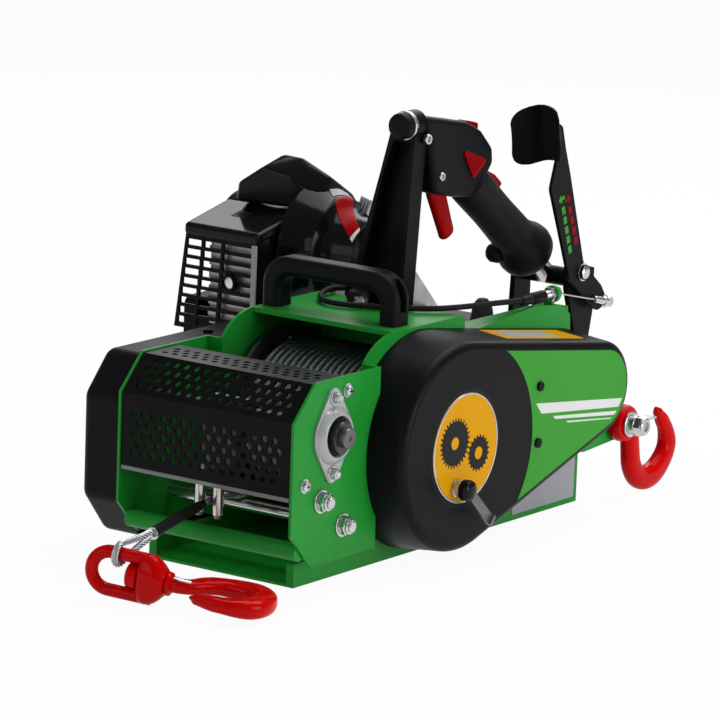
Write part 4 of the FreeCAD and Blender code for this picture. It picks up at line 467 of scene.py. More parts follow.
def rounded(outline, radius):
    """Flat outline with its corners rounded; radius is one value or one for each corner."""
    radii = radius if isinstance(radius, (list, tuple)) else [radius] * len(outline)
    points = []
    for i, r in enumerate(radii):
        corner = Vector(outline[i])
        if r <= 0:
            points.append(tuple(corner))
            continue
        a = (Vector(outline[i - 1]) - corner).normalized()
        b = (Vector(outline[(i + 1) % len(outline)]) - corner).normalized()
        half = a.angle(b) / 2
        middle = corner + (a + b).normalized() * (r / math.sin(half))
        start = corner + a * (r / math.tan(half)) - middle
        end = corner + b * (r / math.tan(half)) - middle
        turn = start.angle_signed(end)
        for step in range(CORNER_STEPS + 1):
            swung = Matrix.Rotation(-turn * step / CORNER_STEPS, 2) @ start
            points.append(tuple(middle + swung))
    return points


def join(*shapes):
    """Several (points, faces) shapes as one."""
    points = []
    faces = []
    for shape_points, shape_faces in shapes:
        base = len(points)
        points.extend(shape_points)
        faces.extend([tuple(base + i for i in face) for face in shape_faces])
    return points, faces


def rings(loops, closed=False):
    """Skin over loops of equally many points, with flat ends unless it closes on itself."""
    count = len(loops[0])
    points = [point for loop in loops for point in loop]
    faces = []
    last = len(loops) if closed else len(loops) - 1
    for i in range(last):
        a = i * count
        b = (i + 1) % len(loops) * count
        for j in range(count):
            k = (j + 1) % count
            faces.append((a + j, a + k, b + k, b + j))
    if not closed:
        faces.append(tuple(reversed(range(count))))
        faces.append(tuple(range(len(points) - count, len(points))))
    return points, faces


def prism(outline, low, high, axis="x"):
    """Outline pushed along an axis: YZ outlines along x, XZ along y, XY along z."""
    place = {
        "x": lambda p, h: Vector((h, p[0], p[1])),
        "y": lambda p, h: Vector((p[0], h, p[1])),
        "z": lambda p, h: Vector((p[0], p[1], h)),
    }[axis]
    return rings([[place(p, low) for p in outline], [place(p, high) for p in outline]])


def cross_axes(way):
    """Two directions square to a way."""
    helper = UP if abs(way.z) < 0.9 else RIGHT
    first = helper.cross(way).normalized()
    return first, way.cross(first)


def oval(middle, up, a, side, b, sides, power=2.0):
    """Loop of points: an ellipse, or with a higher power closer to a box."""
    loop = []
    for j in range(sides):
        angle = 2 * math.pi * j / sides
        c, s = math.cos(angle), math.sin(angle)
        u = math.copysign(abs(c) ** (2 / power), c)
        v = math.copysign(abs(s) ** (2 / power), s)
        loop.append(middle + up * (a * u) + side * (b * v))
    return loop


def lathe(profile, origin, way=RIGHT, steps=40, closed=False):
    """Turned shape: (height, radius) pairs along a way from an origin."""
    way = Vector(way).normalized()
    first, second = cross_axes(way)
    loops = [oval(Vector(origin) + way * h, first, r, second, r, steps) for h, r in profile]
    return rings(loops, closed)


def hexagon(origin, way, height, radius):
    """Hexagon nut or bolt head with a chamfered top."""
    profile = [(0, radius), (height * 0.82, radius), (height, radius * 0.84)]
    return lathe(profile, origin, way, 6)


def smooth_path(points, steps=10):
    """Smooth curve through points."""
    points = [Vector(p) for p in points]
    result = []
    for i, (b, c) in enumerate(zip(points, points[1:])):
        a = points[i - 1] if i else b * 2 - c
        d = points[i + 2] if i + 2 < len(points) else c * 2 - b
        for step in range(steps):
            t = step / steps
            result.append(0.5 * (2 * b + (c - a) * t + (2 * a - 5 * b + 4 * c - d) * t ** 2
                                 + (3 * b - a - 3 * c + d) * t ** 3))
    result.append(points[-1])
    return result


def path_frames(path, first=None):
    """Normal and side at each point of a path, carried along without twist."""
    frames = []
    normal = first
    for i in range(len(path)):
        before = path[max(i - 1, 0)]
        after = path[min(i + 1, len(path) - 1)]
        way = (after - before).normalized()
        if normal is None:
            normal = cross_axes(way)[0]
        normal = (normal - way * normal.dot(way)).normalized()
        frames.append((normal, way.cross(normal)))
    return frames


def sweep(path, size, first=None, sides=20, power=2.0):
    """Bar along a path; size(share) gives its half sizes along the normal and the side."""
    loops = []
    for i, (point, (normal, side)) in enumerate(zip(path, path_frames(path, first))):
        a, b = size(i / (len(path) - 1))
        loops.append(oval(point, normal, a, side, b, sides, power))
    return rings(loops)


def between(stops):
    """Half sizes read between (share, a, b) stops with smooth steps."""
    def size(share):
        for (s0, a0, b0), (s1, a1, b1) in zip(stops, stops[1:]):
            if share <= s1:
                t = (share - s0) / (s1 - s0)
                t = t * t * (3 - 2 * t)
                return a0 + (a1 - a0) * t, b0 + (b1 - b0) * t
        return stops[-1][1:]
    return size


def curved_bar(points, stops, first, steps=6):
    """Forged or moulded bar, between round and square, along a smooth line."""
    return sweep(smooth_path(points, steps), between(stops), first, 28, 2.6)


def strands(path, lay=ROPE_LAY):
    """Wire rope: strands laid round a path of points."""
    frames = path_frames(path)
    lengths = [0.0]
    for a, b in zip(path, path[1:]):
        lengths.append(lengths[-1] + (b - a).length)
    strand_r = ROPE_R / 3
    shapes = []
    for k in range(STRANDS):
        loops = []
        for point, (normal, side), run in zip(path, frames, lengths):
            angle = 2 * math.pi * (k / STRANDS + run / lay)
            out = normal * math.cos(angle) + side * math.sin(angle)
            across = side * math.cos(angle) - normal * math.sin(angle)
            middle = point + out * (2 * strand_r)
            loops.append(oval(middle, out, strand_r, across, strand_r, STRAND_SIDES))
        shapes.append(rings(loops))
    return join(*shapes)


def piece(name, shape, paint, body="frame", stands_for=(), slot=None, angle=32, bevel=0.0):
    """Makes an object of a shape, gives it its finish and lets it ride on a body."""
    points, faces = shape
    mesh = bpy.data.meshes.new(name)
    mesh.from_pydata([tuple(Vector(p) * MM) for p in points], [], faces)
    mesh.materials.append(paint)
    build = bmesh.new()
    build.from_mesh(mesh)
    bmesh.ops.remove_doubles(build, verts=build.verts, dist=1e-6)
    bmesh.ops.recalc_face_normals(build, faces=build.faces)
    build.to_mesh(mesh)
    build.free()
    mesh.polygons.foreach_set("use_smooth", [True] * len(mesh.polygons))
    mesh.set_sharp_from_angle(angle=math.radians(angle))
    obj = bpy.data.objects.new(name, mesh)
    bpy.context.scene.collection.objects.link(obj)
    if bevel:
        rim = obj.modifiers.new("edges", "BEVEL")
        rim.width = bevel * MM
        rim.segments = 3
        rim.limit_method = "ANGLE"
        rim.angle_limit = math.radians(angle)
        rim.harden_normals = True
    slot = slot or SLOTS[paint.name]
    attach(obj, body)
    if stands_for:
        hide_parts(*stands_for)
    return obj


# Camera, floor and light
def set_camera():
    data = bpy.data.cameras.new("camera")
    data.lens = CAMERA_LENS
    data.sensor_width = SENSOR
    data.clip_end = VIEW_END
    camera = bpy.data.objects.new("camera", data)
    axes = Matrix((CAMERA_RIGHT, CAMERA_UP, CAMERA_BACK)).transposed().to_4x4()
    camera.matrix_world = Matrix.Translation(CAMERA_PLACE) @ axes
    bpy.context.scene.collection.objects.link(camera)
    bpy.context.scene.camera = camera


def set_floor():
    """Pale floor that is white to the camera and keeps the object's shadow."""
    mesh = bpy.data.meshes.new("floor")
    corners = rectangle(-FLOOR_HALF, FLOOR_HALF, -FLOOR_HALF, FLOOR_HALF)
    mesh.from_pydata([(x, y, 0) for x, y in corners], [], [(0, 1, 2, 3)])
    floor = bpy.data.objects.new("floor", mesh)
    floor.location.z = -FLOOR_DROP
    bpy.context.scene.collection.objects.link(floor)
    paint, tree, skin = shader("floor")
    grey = (0.86, 0.86, 0.86, 1.0)
    fill(tree, skin, {"Base Color": grey, "Roughness": 0.9, "Specular IOR Level": 0.1})
    rays = node(tree, "ShaderNodeLightPath", {})
    seen = rays["Is Camera Ray"]
    for ray in ("Is Glossy Ray", "Is Transmission Ray"):
        seen = combined(tree, "MAXIMUM", seen, rays[ray])
    share = combined(tree, "MULTIPLY", seen, 0.95)
    glow = node(tree, "ShaderNodeEmission", {})["Emission"]
    mix = node(tree, "ShaderNodeMixShader", {"Fac": share, 1: skin.outputs["BSDF"], 2: glow})
    fill(tree, tree.nodes["Material Output"], {"Surface": mix["Shader"]})
    mesh.materials.append(paint)


def set_light():
    for name, place, size, power in LAMPS:
        data = bpy.data.lights.new(name, "AREA")
        data.shape = "RECTANGLE"
        data.size, data.size_y = size
        data.energy = power
        lamp = bpy.data.objects.new(name, data)
        lamp.location = place
        lamp.rotation_euler = (Vector(LAMP_TARGET) - Vector(place)).to_track_quat("-Z", "Y").to_euler()
        bpy.context.scene.collection.objects.link(lamp)
    world = bpy.data.worlds.new("studio")
    world.use_nodes = True
    sky = {"Color": (1.0, 1.0, 1.0, 1.0), "Strength": SKY_STRENGTH}
    fill(world.node_tree, world.node_tree.nodes["Background"], sky)
    bpy.context.scene.world = world
    bpy.context.scene.view_settings.view_transform = "Standard"


def finish_nodes():
    for part in frame["record"]["subparts"]:
        name = part["node"]
        paint = NODE_PAINTS.get(name) or SLOT_PAINTS[part["material_slot"]][0]
        mesh = frame["nodes"][name].data
        mesh.materials.clear()
        mesh.materials.append(paint)


# Rope
def winding():
    """Outer layer of rope on the drum, with its strands."""
    path = []
    for i in range(ROPE_TURNS * WIND_STEPS + 1):
        turn = i / WIND_STEPS
        angle = 2 * math.pi * turn
        x = (turn - ROPE_TURNS / 2) * ROPE_PITCH
        path.append(Vector((x, WIND_R * math.sin(angle), DRUM_Z + WIND_R * math.cos(angle))))
    piece("wound_rope", strands(path), WIRE, "drum", ["rope_winding"], angle=60)


def route_curve(name, route):
    """Curve object's data along a route."""
    curve = bpy.data.curves.new(name, "CURVE")
    curve.dimensions = "3D"
    spline = curve.splines.new("NURBS")
    spline.points.add(len(route) - 1)
    for point, place in zip(spline.points, route):
        point.co = (*place, 1.0)
    spline.order_u = 3
    spline.use_endpoint_u = True
    spline.resolution_u = 40
    return curve


def route_points(route):
    """Points in millimetres along a route's smooth line."""
    curve = route_curve("route", route)
    guide = bpy.data.objects.new("route", curve)
    mesh = bpy.data.meshes.new_from_object(guide)
    points = [vertex.co / MM for vertex in mesh.vertices]
    bpy.data.objects.remove(guide)
    bpy.data.curves.remove(curve)
    bpy.data.meshes.remove(mesh)
    return points


def run_length(points):
    return sum((b - a).length for a, b in zip(points, points[1:]))


def bow_point(s, q, w):
    """Point along, beside and above the swivel's origin."""
    return BOW_START + BOW_ALONG * s + BOW_SIDE * q + BOW_UP * w


def eye_path():
    """Teardrop of rope round the bow's upper bar."""
    centre = bow_point(EYE_AT, 0, BOW_HALF)
    way = (centre - Vector(ROPE_ROUTE[-1]) / MM).normalized()
    across = (BOW_ALONG - way * BOW_ALONG.dot(way)).normalized()
    leg = [(-50, 3.3), (-34, 4.4), (-17, 7.4)]
    bend = arc((0, 0), EYE_R, math.radians(100), math.radians(-100), 10)
    flat = leg + bend + [(u, -v) for u, v in reversed(leg)]
    return smooth_path(placed(flat, centre, way, across.cross(way)), 6)


def rope_end():
    """Free rope with its sleeve, ring and eye."""
    path = route_points(ROPE_ROUTE)
    rope = piece("rope_run", strands(path), WIRE, "carriage", ["rope_lead"], angle=60)
    covered = [point for point in path if point.y < SLEEVE_FROM_Y]
    size = between([(0, 4.0, 4.0), (0.18, 5.2, 5.2), (0.92, 5.5, 5.5), (1, 5.6, 5.6)])
    sleeve = piece("rope_sleeve", sweep(covered, size), RUBBER, "carriage", angle=50)
    way = (path[-1] - path[-2]).normalized()
    profile = [(-1.4, 5.7), (-1.0, 6.4), (1.0, 6.4), (1.4, 5.6), (1.6, 4.0)]
    band = piece("sleeve_ring", lathe(profile, path[-1], way), ZINC, "carriage")
    eye = piece("eye_rope", strands(eye_path(), EYE_LAY), WIRE, "carriage", ["rope_eye"], angle=60)
    return rope, path, [sleeve, band, eye]


def bow():
    """Bow of the swivel with its boss, painted red."""
    path = [(70, BOW_HALF), (58, BOW_HALF), (40, BOW_HALF)]
    path += arc((BOW_HALF + BOW_BAR_R, 0), BOW_HALF, math.pi / 2, 1.5 * math.pi, 20)
    path += [(s, -w) for s, w in path[2::-1]]
    bar = sweep([bow_point(s, 0, w) for s, w in path], lambda share: (BOW_BAR_R, BOW_BAR_R), BOW_SIDE, 24)
    stations = [
        (55.5, 14, 9), (56.5, 21, 11), (59, 24.4, 12.6), (64, 25.5, 13.6), (70, 24.6, 14.2), (75, 21.6, 14.2),
        (79, 18, 13.8), (82, 14.6, 12.8), (84, 12.2, 11.4),
    ]
    boss = rings([oval(bow_point(s, 0, 0), BOW_UP, a, BOW_SIDE, b, 48, 2.3) for s, a, b in stations])
    piece("bow_and_boss", join(bar, boss), RED, "swivel_bow", ["swivel_bow"], angle=40)


def front_hook():
    """Forged hook that turns in the boss, its stud head and its small latch spring."""
    line = (
        (84.5, 0), (98, 1), (108, 6), (116, 17), (127, 26.5), (145, 30), (165, 27.5), (178, 17), (182, 0),
        (178, -17), (165, -27), (148, -30), (132, -29), (118, -26),
    )
    stops = (
        (0, 7.5, 7.5), (0.12, 7.0, 8.5), (0.3, 8.0, 11.0), (0.5, 10.5, 13.0), (0.7, 10.0, 12.5),
        (0.85, 7.5, 9.0), (0.96, 5.5, 6.0), (1, 1.5, 2.0),
    )
    forged = curved_bar([bow_point(s, q, 0) for s, q in line], stops, BOW_UP)
    head = lathe([(0, 10.5), (1.2, 12.2), (10, 12.4), (11, 11.6)], bow_point(HEAD_AT, 0, 0), BOW_ALONG)
    collar = lathe([(0, 10.5), (2, 12.0), (4.5, 11.5), (6, 9.0)], bow_point(COLLAR_AT, 0, 0), BOW_ALONG)
    piece("front_hook", join(forged, head, collar), RED, "rope_hook", ["rope_hook"], angle=40)
    spring = smooth_path([bow_point(93, -3, 8.2), bow_point(101, -4, 7.7), bow_point(110, -3, 7.2)])
    piece("hook_spring", sweep(spring, lambda share: (1.4, 2.6), BOW_UP, 12), ZINC, "rope_hook")


def rope_group():
    rope, path, fitted = rope_end()
    bow()
    front_hook()


# Rear anchor
def rear_hook():
    """Forged hook on the anchor bolt."""
    line = (
        (363, 78), (370, 66), (373, 48), (376, 32), (385, 19), (399, 12), (416, 13), (431, 21), (443, 34),
        (446, 46), (441, 61), (431, 74), (421, 85),
    )
    stops = (
        (0, 8.4, 10.5), (0.25, 8.6, 12.0), (0.5, 9.5, 13.0), (0.72, 8.8, 11.2), (0.88, 6.8, 8.0),
        (0.97, 5.0, 4.8), (1, 2.0, 2.0),
    )
    forged = curved_bar([(HOOK_X, y, z) for y, z in line], stops, RIGHT)
    profile = [
        (-8.0, 8.3), (-8.3, 12), (-7.0, 18.5), (-3.5, 20.0), (3.5, 20.0), (7.0, 18.5), (8.3, 12), (8.0, 8.3),
    ]
    eye = lathe(profile, (HOOK_X, ANCHOR_Y, ANCHOR_Z), closed=True)
    piece("anchor_hook", join(forged, eye), RED, "rear_hook", ["rear_hook"], angle=40)


def anchor_bolt():
    """Bolt through the lug, with washer, collar and lock nut outside the hook's eye."""
    start = (ANCHOR_NUT_X, ANCHOR_Y, ANCHOR_Z)
    inside = (INNER_X - SHEET_T, ANCHOR_Y, ANCHOR_Z)
    turned_parts = (
        [(0, 12.8), (0.5, 13.6), (2.5, 13.6), (3, 12.8)],
        [(3, 10.4), (9.6, 10.4), (10, 9.8)],
        [(17.4, 9.2), (19.6, 9.0), (20.4, 8.0), (20.4, 5.2), (18.4, 5.0), (18.4, 0.4)],
    )
    shapes = [lathe(profile, start) for profile in turned_parts]
    shapes.append(lathe([(9.8, 10.6), (10.8, 11.4), (16.8, 11.4), (18.2, 10.4)], start, steps=6))
    shapes.append(lathe([(0, 7.9), (ANCHOR_NUT_X - inside[0], 7.9)], inside))
    shapes.append(hexagon(inside, -RIGHT, 9.0, 13.0))
    piece("anchor_set", join(*shapes), ZINC, stands_for=["anchor_bolt"])


# Right chain cover
def tangent_points(centre, radius, other, other_radius, sign):
    """Ends of the straight run that touches two circles, and the angle where it touches."""
    way = Vector(other) - Vector(centre)
    turn = math.atan2(way.y, way.x) + sign * math.acos((radius - other_radius) / way.length)
    out = Vector((math.cos(turn), math.sin(turn)))
    return Vector(centre) + out * radius, Vector(other) + out * other_radius, turn


def meet(start, end, centre, radius):
    """Point where a straight run crosses a circle."""
    way = (end - start).normalized()
    back = start - Vector(centre)
    b = back.dot(way)
    reach = math.sqrt(b * b - back.length_squared + radius * radius)
    return start + way * (reach - b)


def tail_outline():
    """Green face of the tail: the flat of the cover behind an arc."""
    drum = (0, DRUM_Z)
    jack = (JACK_Y, JACK_Z)
    top_start, top_end, top_turn = tangent_points(drum, FLAT_BIG_R, jack, FLAT_TAIL_R, 1)
    low_start, low_end, low_turn = tangent_points(drum, FLAT_BIG_R, jack, FLAT_TAIL_R, -1)
    first = meet(top_start, top_end, DECAL_ARC, DECAL_ARC_R)
    last = meet(low_start, low_end, DECAL_ARC, DECAL_ARC_R)
    ends = [math.atan2(p.y - DECAL_ARC[1], p.x - DECAL_ARC[0]) for p in (last, first)]
    return arc(jack, FLAT_TAIL_R, top_turn, low_turn) + arc(DECAL_ARC, DECAL_ARC_R, *ends)


def cover_labels():
    x = COVER_FACE_X
    top = x + DECAL_T
    piece("tail_label", prism(tail_outline(), x, top), LABEL_GREEN)
    bars = [prism(bar, top, top + DECAL_T / 2) for bar in STRIPES]
    piece("tail_stripes", join(*bars), LABEL_WHITE)
    plate = rounded(rectangle(*RATING), 3)
    piece("rating_plate", prism(plate, PLATE_X, PLATE_X + RATING_T), LABEL_GREY, bevel=0.15)


def top_point(x, y, lift):
    """Point on the sloping top of the cover."""
    height = (TOP_LEVEL - TOP_NORMAL[0] * x - TOP_NORMAL[1] * y) / TOP_NORMAL[2]
    return Vector((x, y, height)) + Vector(TOP_NORMAL) * lift


def top_sticker():
    """Blank amber sticker with a pale panel on the cover's top."""
    for name, extent, low, high, paint in (
        ("top_sticker", (99, 133, 92, 236), -0.4, 0.4, AMBER),
        ("sticker_panel", (104, 128, 106, 196), 0.3, 0.6, LABEL_GREY),
    ):
        loops = [[top_point(x, y, lift) for x, y in rectangle(*extent)] for lift in (low, high)]
        piece(name, rings(loops), paint, slot="yellow_disc")


def gear_outline(y, z, radius, teeth):
    """Gear pictogram with square teeth."""
    points = []
    root = radius - TOOTH_SHARE * radius
    step = 2 * math.pi / teeth
    for i in range(teeth):
        for share, r in ((0.0, root), (0.30, root), (0.36, radius), (0.70, radius), (0.76, root)):
            angle = step * (i + share)
            points.append((y + r * math.cos(angle), z + r * math.sin(angle)))
    return points


def disc_label():
    """Grey rim, dark groove and two gear pictograms on the amber disc."""
    x = DISC_FACE_X
    centre = (x, 0, DRUM_Z)
    rim = [(-1.4, DISC_R - 1.6), (0.35, DISC_R - 1.6), (0.5, DISC_R - 0.4), (-0.2, DISC_R + 0.3)]
    piece("disc_rim", lathe(rim, centre, steps=96, closed=True), ZINC)
    groove = [(-1.45, DISC_R + 0.2), (-1.2, DISC_R + 0.2), (-1.2, DISC_R + 4.5), (-1.45, DISC_R + 4.8)]
    piece("disc_groove", lathe(groove, centre, steps=96, closed=True), LABEL_BLACK)
    gears = []
    holes = []
    for y, z, radius, teeth in PICTOGRAMS:
        gears.append(prism(gear_outline(y, z, radius, teeth), x, x + 0.15))
        holes.append(lathe([(0.1, 6.5), (0.25, 6.4)], (x, y, z), steps=32))
    piece("gear_signs", join(*gears), LABEL_BLACK)
    piece("gear_sign_holes", join(*holes), AMBER)


def spool_lever():
    """Bush, round hub and flat bar of the free spool lever."""
    x = DISC_FACE_X
    hub = (x, SPOOL_Y, SPOOL_Z)
    bush = [(0.3, 4), (0.3, 10.0), (1.6, 10.4), (2.0, 8.6), (7.0, 8.4), (7.6, 7.4), (11, 6)]
    piece("spool_bush", lathe(bush, hub, steps=6), ZINC, "free_spool_lever", bevel=0.4)
    knob = [(7.8, 5), (8.0, 9.2), (9.2, 10.6), (15.6, 10.8), (18.4, 9.6), (20.0, 6.6), (20.3, 2)]
    piece("spool_hub", lathe(knob, hub), GLOSS, "free_spool_lever", ["free_spool_lever"])
    way = Vector((math.cos(SPOOL_TURN), math.sin(SPOOL_TURN)))
    side = Vector((-way.y, way.x))
    middle = Vector((SPOOL_Y, SPOOL_Z))
    flat = placed(rectangle(4, SPOOL_ARM, -SPOOL_HALF, SPOOL_HALF), middle, way, side)
    bar = prism(rounded(flat, [0, 2, 2, 0]), x + 12.5, x + 16.5)
    lip = placed(rectangle(SPOOL_ARM - SPOOL_LIP, SPOOL_ARM, -SPOOL_HALF, SPOOL_HALF), middle, way, side)
    fold = prism(lip, x + 12.5, x + 20.0)
    piece("spool_bar", join(bar, fold), DARK_STEEL, "free_spool_lever", bevel=0.7)


# Handle and controls
def handle_shell():
    """Throttle housing, its silver bolts and the cap on the front of the tube."""
    shell = prism(rounded(HOUSING, HOUSING_ROUND), *HOUSING_X)
    piece("throttle_shell", shell, PLASTIC, stands_for=["throttle_housing"], bevel=6.0)
    cap = [(-3, 10), (-3, 13.5), (4, 13.8), (6.4, 13.0), (7.6, 10.5), (8, 5), (8, 1)]
    piece("tube_cap", lathe(cap, TUBE_FRONT, FRONT), PLASTIC)
    ring = [(-8, 11), (-8, 14.4), (-7.4, 15), (-3.6, 15), (-3, 14.4), (-3, 11)]
    piece("tube_ring", lathe(ring, TUBE_FRONT, FRONT), ZINC)
    for name, place, r in HOUSING_BOLTS:
        head = [(0, r), (3.2, r), (4, r - 0.7), (4, r * 0.52), (1.6, r * 0.46), (1.6, 0.3)]
        piece(name, lathe(head, place, steps=36), ZINC)


def stop_key():
    """Three-cornered key with ribs across it."""
    face = HOUSING_X[1]
    tip, upper, lower = [Vector(corner) for corner in STOP_KEY]
    across = (upper - tip).normalized() * RIB_HALF
    shapes = [prism(rounded(STOP_KEY, 3), face - 3, face + 2.0)]
    for i in range(1, STOP_RIBS + 1):
        share = 0.16 + 0.1 * i
        a = tip.lerp(upper, share)
        b = tip.lerp(lower, share)
        shapes.append(prism([a - across, a + across, b + across, b - across], face, face + 3.0))
    return join(*shapes)


def red_controls():
    """Trigger, lock lever, hold button and ribbed stop key."""
    stops = (
        (0, 6.0, 13.0), (0.2, 6.0, 12.4), (0.8, 5.6, 10.4), (0.93, 5.0, 8.6), (0.985, 3.2, 5.0), (1, 1, 1.4),
    )
    blade = curved_bar([(HANDLE_X, y, z) for y, z in TRIGGER], stops, RIGHT, 4)
    piece("trigger_blade", blade, RED_PLASTIC, "throttle_trigger", ["throttle_trigger"], angle=50)
    for name, outline, radii, half, edge, body in FLAT_CONTROLS:
        bar = prism(rounded(outline, radii), HANDLE_X - half, HANDLE_X + half)
        piece(name, bar, RED_PLASTIC, body, [body], bevel=edge)
    piece("stop_key", stop_key(), RED_PLASTIC, "stop_switch", ["stop_switch"], bevel=0.35)


def grip():
    """Rubber grip with shallow rings and a round flared end."""
    profile = [(112, 12), (113, 19.5), (116, 22)]
    for i in range(GRIP_RINGS):
        run = RING_FROM + RING_PITCH * i
        swell = 22.2 + 0.5 * math.cos(2 * math.pi * i / GRIP_RINGS)
        profile += [(run, swell), (run + RING_PITCH / 2, swell - 0.35)]
    profile += [
        (232, 23.5), (242, 26.5), (250, 29.8), (257, 31), (264, 30.2), (269, 27), (272, 21), (273, 12),
    ]
    knob = lathe(profile, TUBE_BEND, TUBE_WAY, 48)
    lug = [(-9, 3), (-8, 8), (-4, 10.5), (4, 10.5), (8, 8), (9, 3)]
    lug = lathe(lug, TUBE_BEND + TUBE_WAY * 240 + Vector((-18, -13, -14)))
    piece("rubber_grip", join(knob, lug), RUBBER, stands_for=["handle_grip"], angle=50)


def lever_marks(start, end, dashes, heading):
    """Outlines of a sideways arrow and a row of dashes below it."""
    way = (end - start).normalized()
    side = Vector((-way.y, way.x)) * heading
    outlines = [placed(ARROW, start - way * ARROW_RISE, way, side)]
    pitch = (end - start).length / dashes
    for i in range(dashes):
        run = i * pitch
        dash = rectangle(run, run + pitch * DASH_SHARE, -DASH_HALF, DASH_HALF)
        outlines.append(placed(dash, start, way, side))
    return outlines


def hand_plate():
    """Concave plate across the top of the start lever."""
    loops = []
    for x, low, high in PADDLE:
        share = (x - PADDLE[0][0]) / (PADDLE[-1][0] - PADDLE[0][0])
        front = []
        for j in range(PADDLE_ROWS + 1):
            rise = j / PADDLE_ROWS
            y = PADDLE_Y + PADDLE_BULGE * math.sin(math.pi * share) - PADDLE_LEAN * rise ** 2
            front.append(Vector((x, y, low + (high - low) * rise)))
        loops.append(front + [point + REAR * PADDLE_T for point in reversed(front)])
    return rings(loops)


def start_lever():
    """Flat lever with its hand plate, direction marks, pivot bolt and cable clamp."""
    x = LEVER_X[1]
    strip = [(LEVER_PIVOT[0] + y, LEVER_PIVOT[1] + z) for y, z in LEVER_STRIP]
    flat = prism(rounded(strip, LEVER_ROUND), *LEVER_X)
    piece("lever_strip", flat, BLACK, "start_lever", ["start_lever"], bevel=0.8)
    piece("lever_plate", hand_plate(), BLACK, "start_lever", angle=40, bevel=0.9)
    for name, start, end, dashes, heading, paint in LEVER_MARKS:
        marks = lever_marks(Vector(start), Vector(end), dashes, heading)
        signs = [prism(mark, x - 0.1, x + 0.25) for mark in marks]
        piece(name, join(*signs), paint, "start_lever")
    bolt = [(0.2, 9.5), (1.6, 9.5), (1.7, 7.2), (4.2, 7.0), (5.4, 5.6), (5.8, 3), (5.9, 0.5)]
    piece("pivot_bolt", lathe(bolt, (x, *LEVER_PIVOT)), ZINC)
    clamp = [
        (0.1, 3), (0.1, 7), (1.5, 7), (1.5, 5.4), (8.5, 5.4), (9.4, 4.6), (9.4, 2), (8.4, 1.6), (8.4, 0.3),
    ]
    ferrule = [(-4, 4.4), (-3, 5.0), (8, 5.0), (9, 4.0), (26, 3.6), (27, 2.6), (27.2, 1.2)]
    shapes = (lathe(clamp, (x, *CLAMP)), lathe(ferrule, (x + 4.6, *CLAMP), WIRE_WAY))
    piece("wire_clamp", join(*shapes), ZINC, "start_lever")


def cable():
    """Control cable with its boot, threaded adjuster and nuts."""
    curve = route_curve("control_sheath", CABLE_ROUTE)
    curve.bevel_depth = CABLE_R * MM
    curve.bevel_resolution = 6
    curve.use_fill_caps = True
    curve.materials.append(RUBBER)
    sheath = bpy.data.objects.new("control_sheath", curve)
    bpy.context.scene.collection.objects.link(sheath)
    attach(sheath, "frame")
    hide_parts("control_cable")
    length = run_length(route_points(CABLE_ROUTE)) * MM
    start = Vector(CABLE_ROUTE[0]) / MM
    boot = [(-10, 3.4), (-9, 4.6), (2, 5.2), (9, 5.4), (9.4, 4.0)]
    piece("cable_boot", lathe(boot, start, REAR), RUBBER)
    sleeve = [(8, 4), (8.4, 6.0), (12, 6.4), (30, 6.4), (31, 5.4), (31, 4.0)]
    piece("adjuster_sleeve", lathe(sleeve, start, REAR), PLASTIC)
    barrel = [(24, 3), (25, 5.4)]
    for i in range(THREADS):
        barrel += [(25.4 + 2 * i, 5.0), (26.4 + 2 * i, 4.4)]
    barrel += [(54, 4.4), (54, 1.5)]
    nuts = [hexagon(start + REAR * run, REAR, 5.0, 8.2) for run in ADJUSTER_NUTS]
    piece("adjuster_barrel", join(lathe(barrel, start, REAR), *nuts), ZINC, stands_for=["cable_adjuster"])


def deck_fittings():
    """Bolts and a rubber bush on the deck."""
    bolts = []
    for place, height in DECK_BOLTS:
        bolts += [hexagon(place, UP, height, 7.0), lathe([(0, 8.4), (1.2, 8.4)], place, UP)]
    piece("deck_bolts", join(*bolts), ZINC)
    bush = [(0, 11.5), (10, 11.5), (13, 10), (14.6, 6.5), (14.8, 1)]
    piece("cable_bush", lathe(bush, DECK_BUSH, UP), RUBBER)


# Front
def lens_outline(y, z, radius):
    """Round plate with a bolt ear above and below."""
    lean = math.acos((radius - EAR_R) / EAR_SPAN)
    arcs = (
        (-lean, lean, EAR_R, EAR_SPAN), (lean, math.pi - lean, radius, 0),
        (math.pi - lean, math.pi + lean, EAR_R, -EAR_SPAN), (math.pi + lean, 2 * math.pi - lean, radius, 0),
    )
    points = []
    for first, last, r, lift in arcs:
        points += [(v, u) for u, v in arc((z + lift, y), r, first, last, 12)]
    return points


def bearings():
    """Pressed flanges with domed rings and dark inserts, on both sides of the frame."""
    dome = [(2.5, -0.6), (4.6, -1.6), (8.4, -4.6), (10.4, -7.4), (10.4, -9.2), (8, -10.2), (2.5, -10.2)]
    insert = [(2.5, -10), (6.4, -10.3), (7.8, -12), (8.2, -13.5), (8.2, -15)]
    flanges = []
    inserts = []
    for side in (-1, 1):
        for x, y, z, way, radius in BEARINGS:
            start = (side * x, y, z)
            out = (side * way, 0, 0)
            plate = sorted((side * x, side * (x + way * FLANGE_T)))
            flanges.append(prism(lens_outline(y, z, radius), *plate))
            flanges.append(lathe([(h, radius + r) for h, r in dome], start, out, 48, True))
            inserts.append(lathe([(h, max(radius + r, INSERT_MIN_R)) for h, r in insert], start, out, 48))
    piece("flange_units", join(*flanges), PLATED, stands_for=["flange_bearings"], bevel=0.4)
    piece("bearing_inserts", join(*inserts), LABEL_BLACK)
    start = (BOX_X, *SCREW)
    collar = [(8.2, 11), (8.2, 15.2), (9, 15.8), (14.6, 15.8), (15.8, 14.8), (16, 10.4)]
    piece("screw_collar", lathe(collar, start), BLUED, "level_wind_screw")
    end = [(15.8, 10.2), (21.6, 10.2), (23, 9), (23, 2.4), (21.6, 1.8), (21.6, 0.3)]
    piece("screw_end", lathe(end, start), DARK_STEEL, "level_wind_screw")


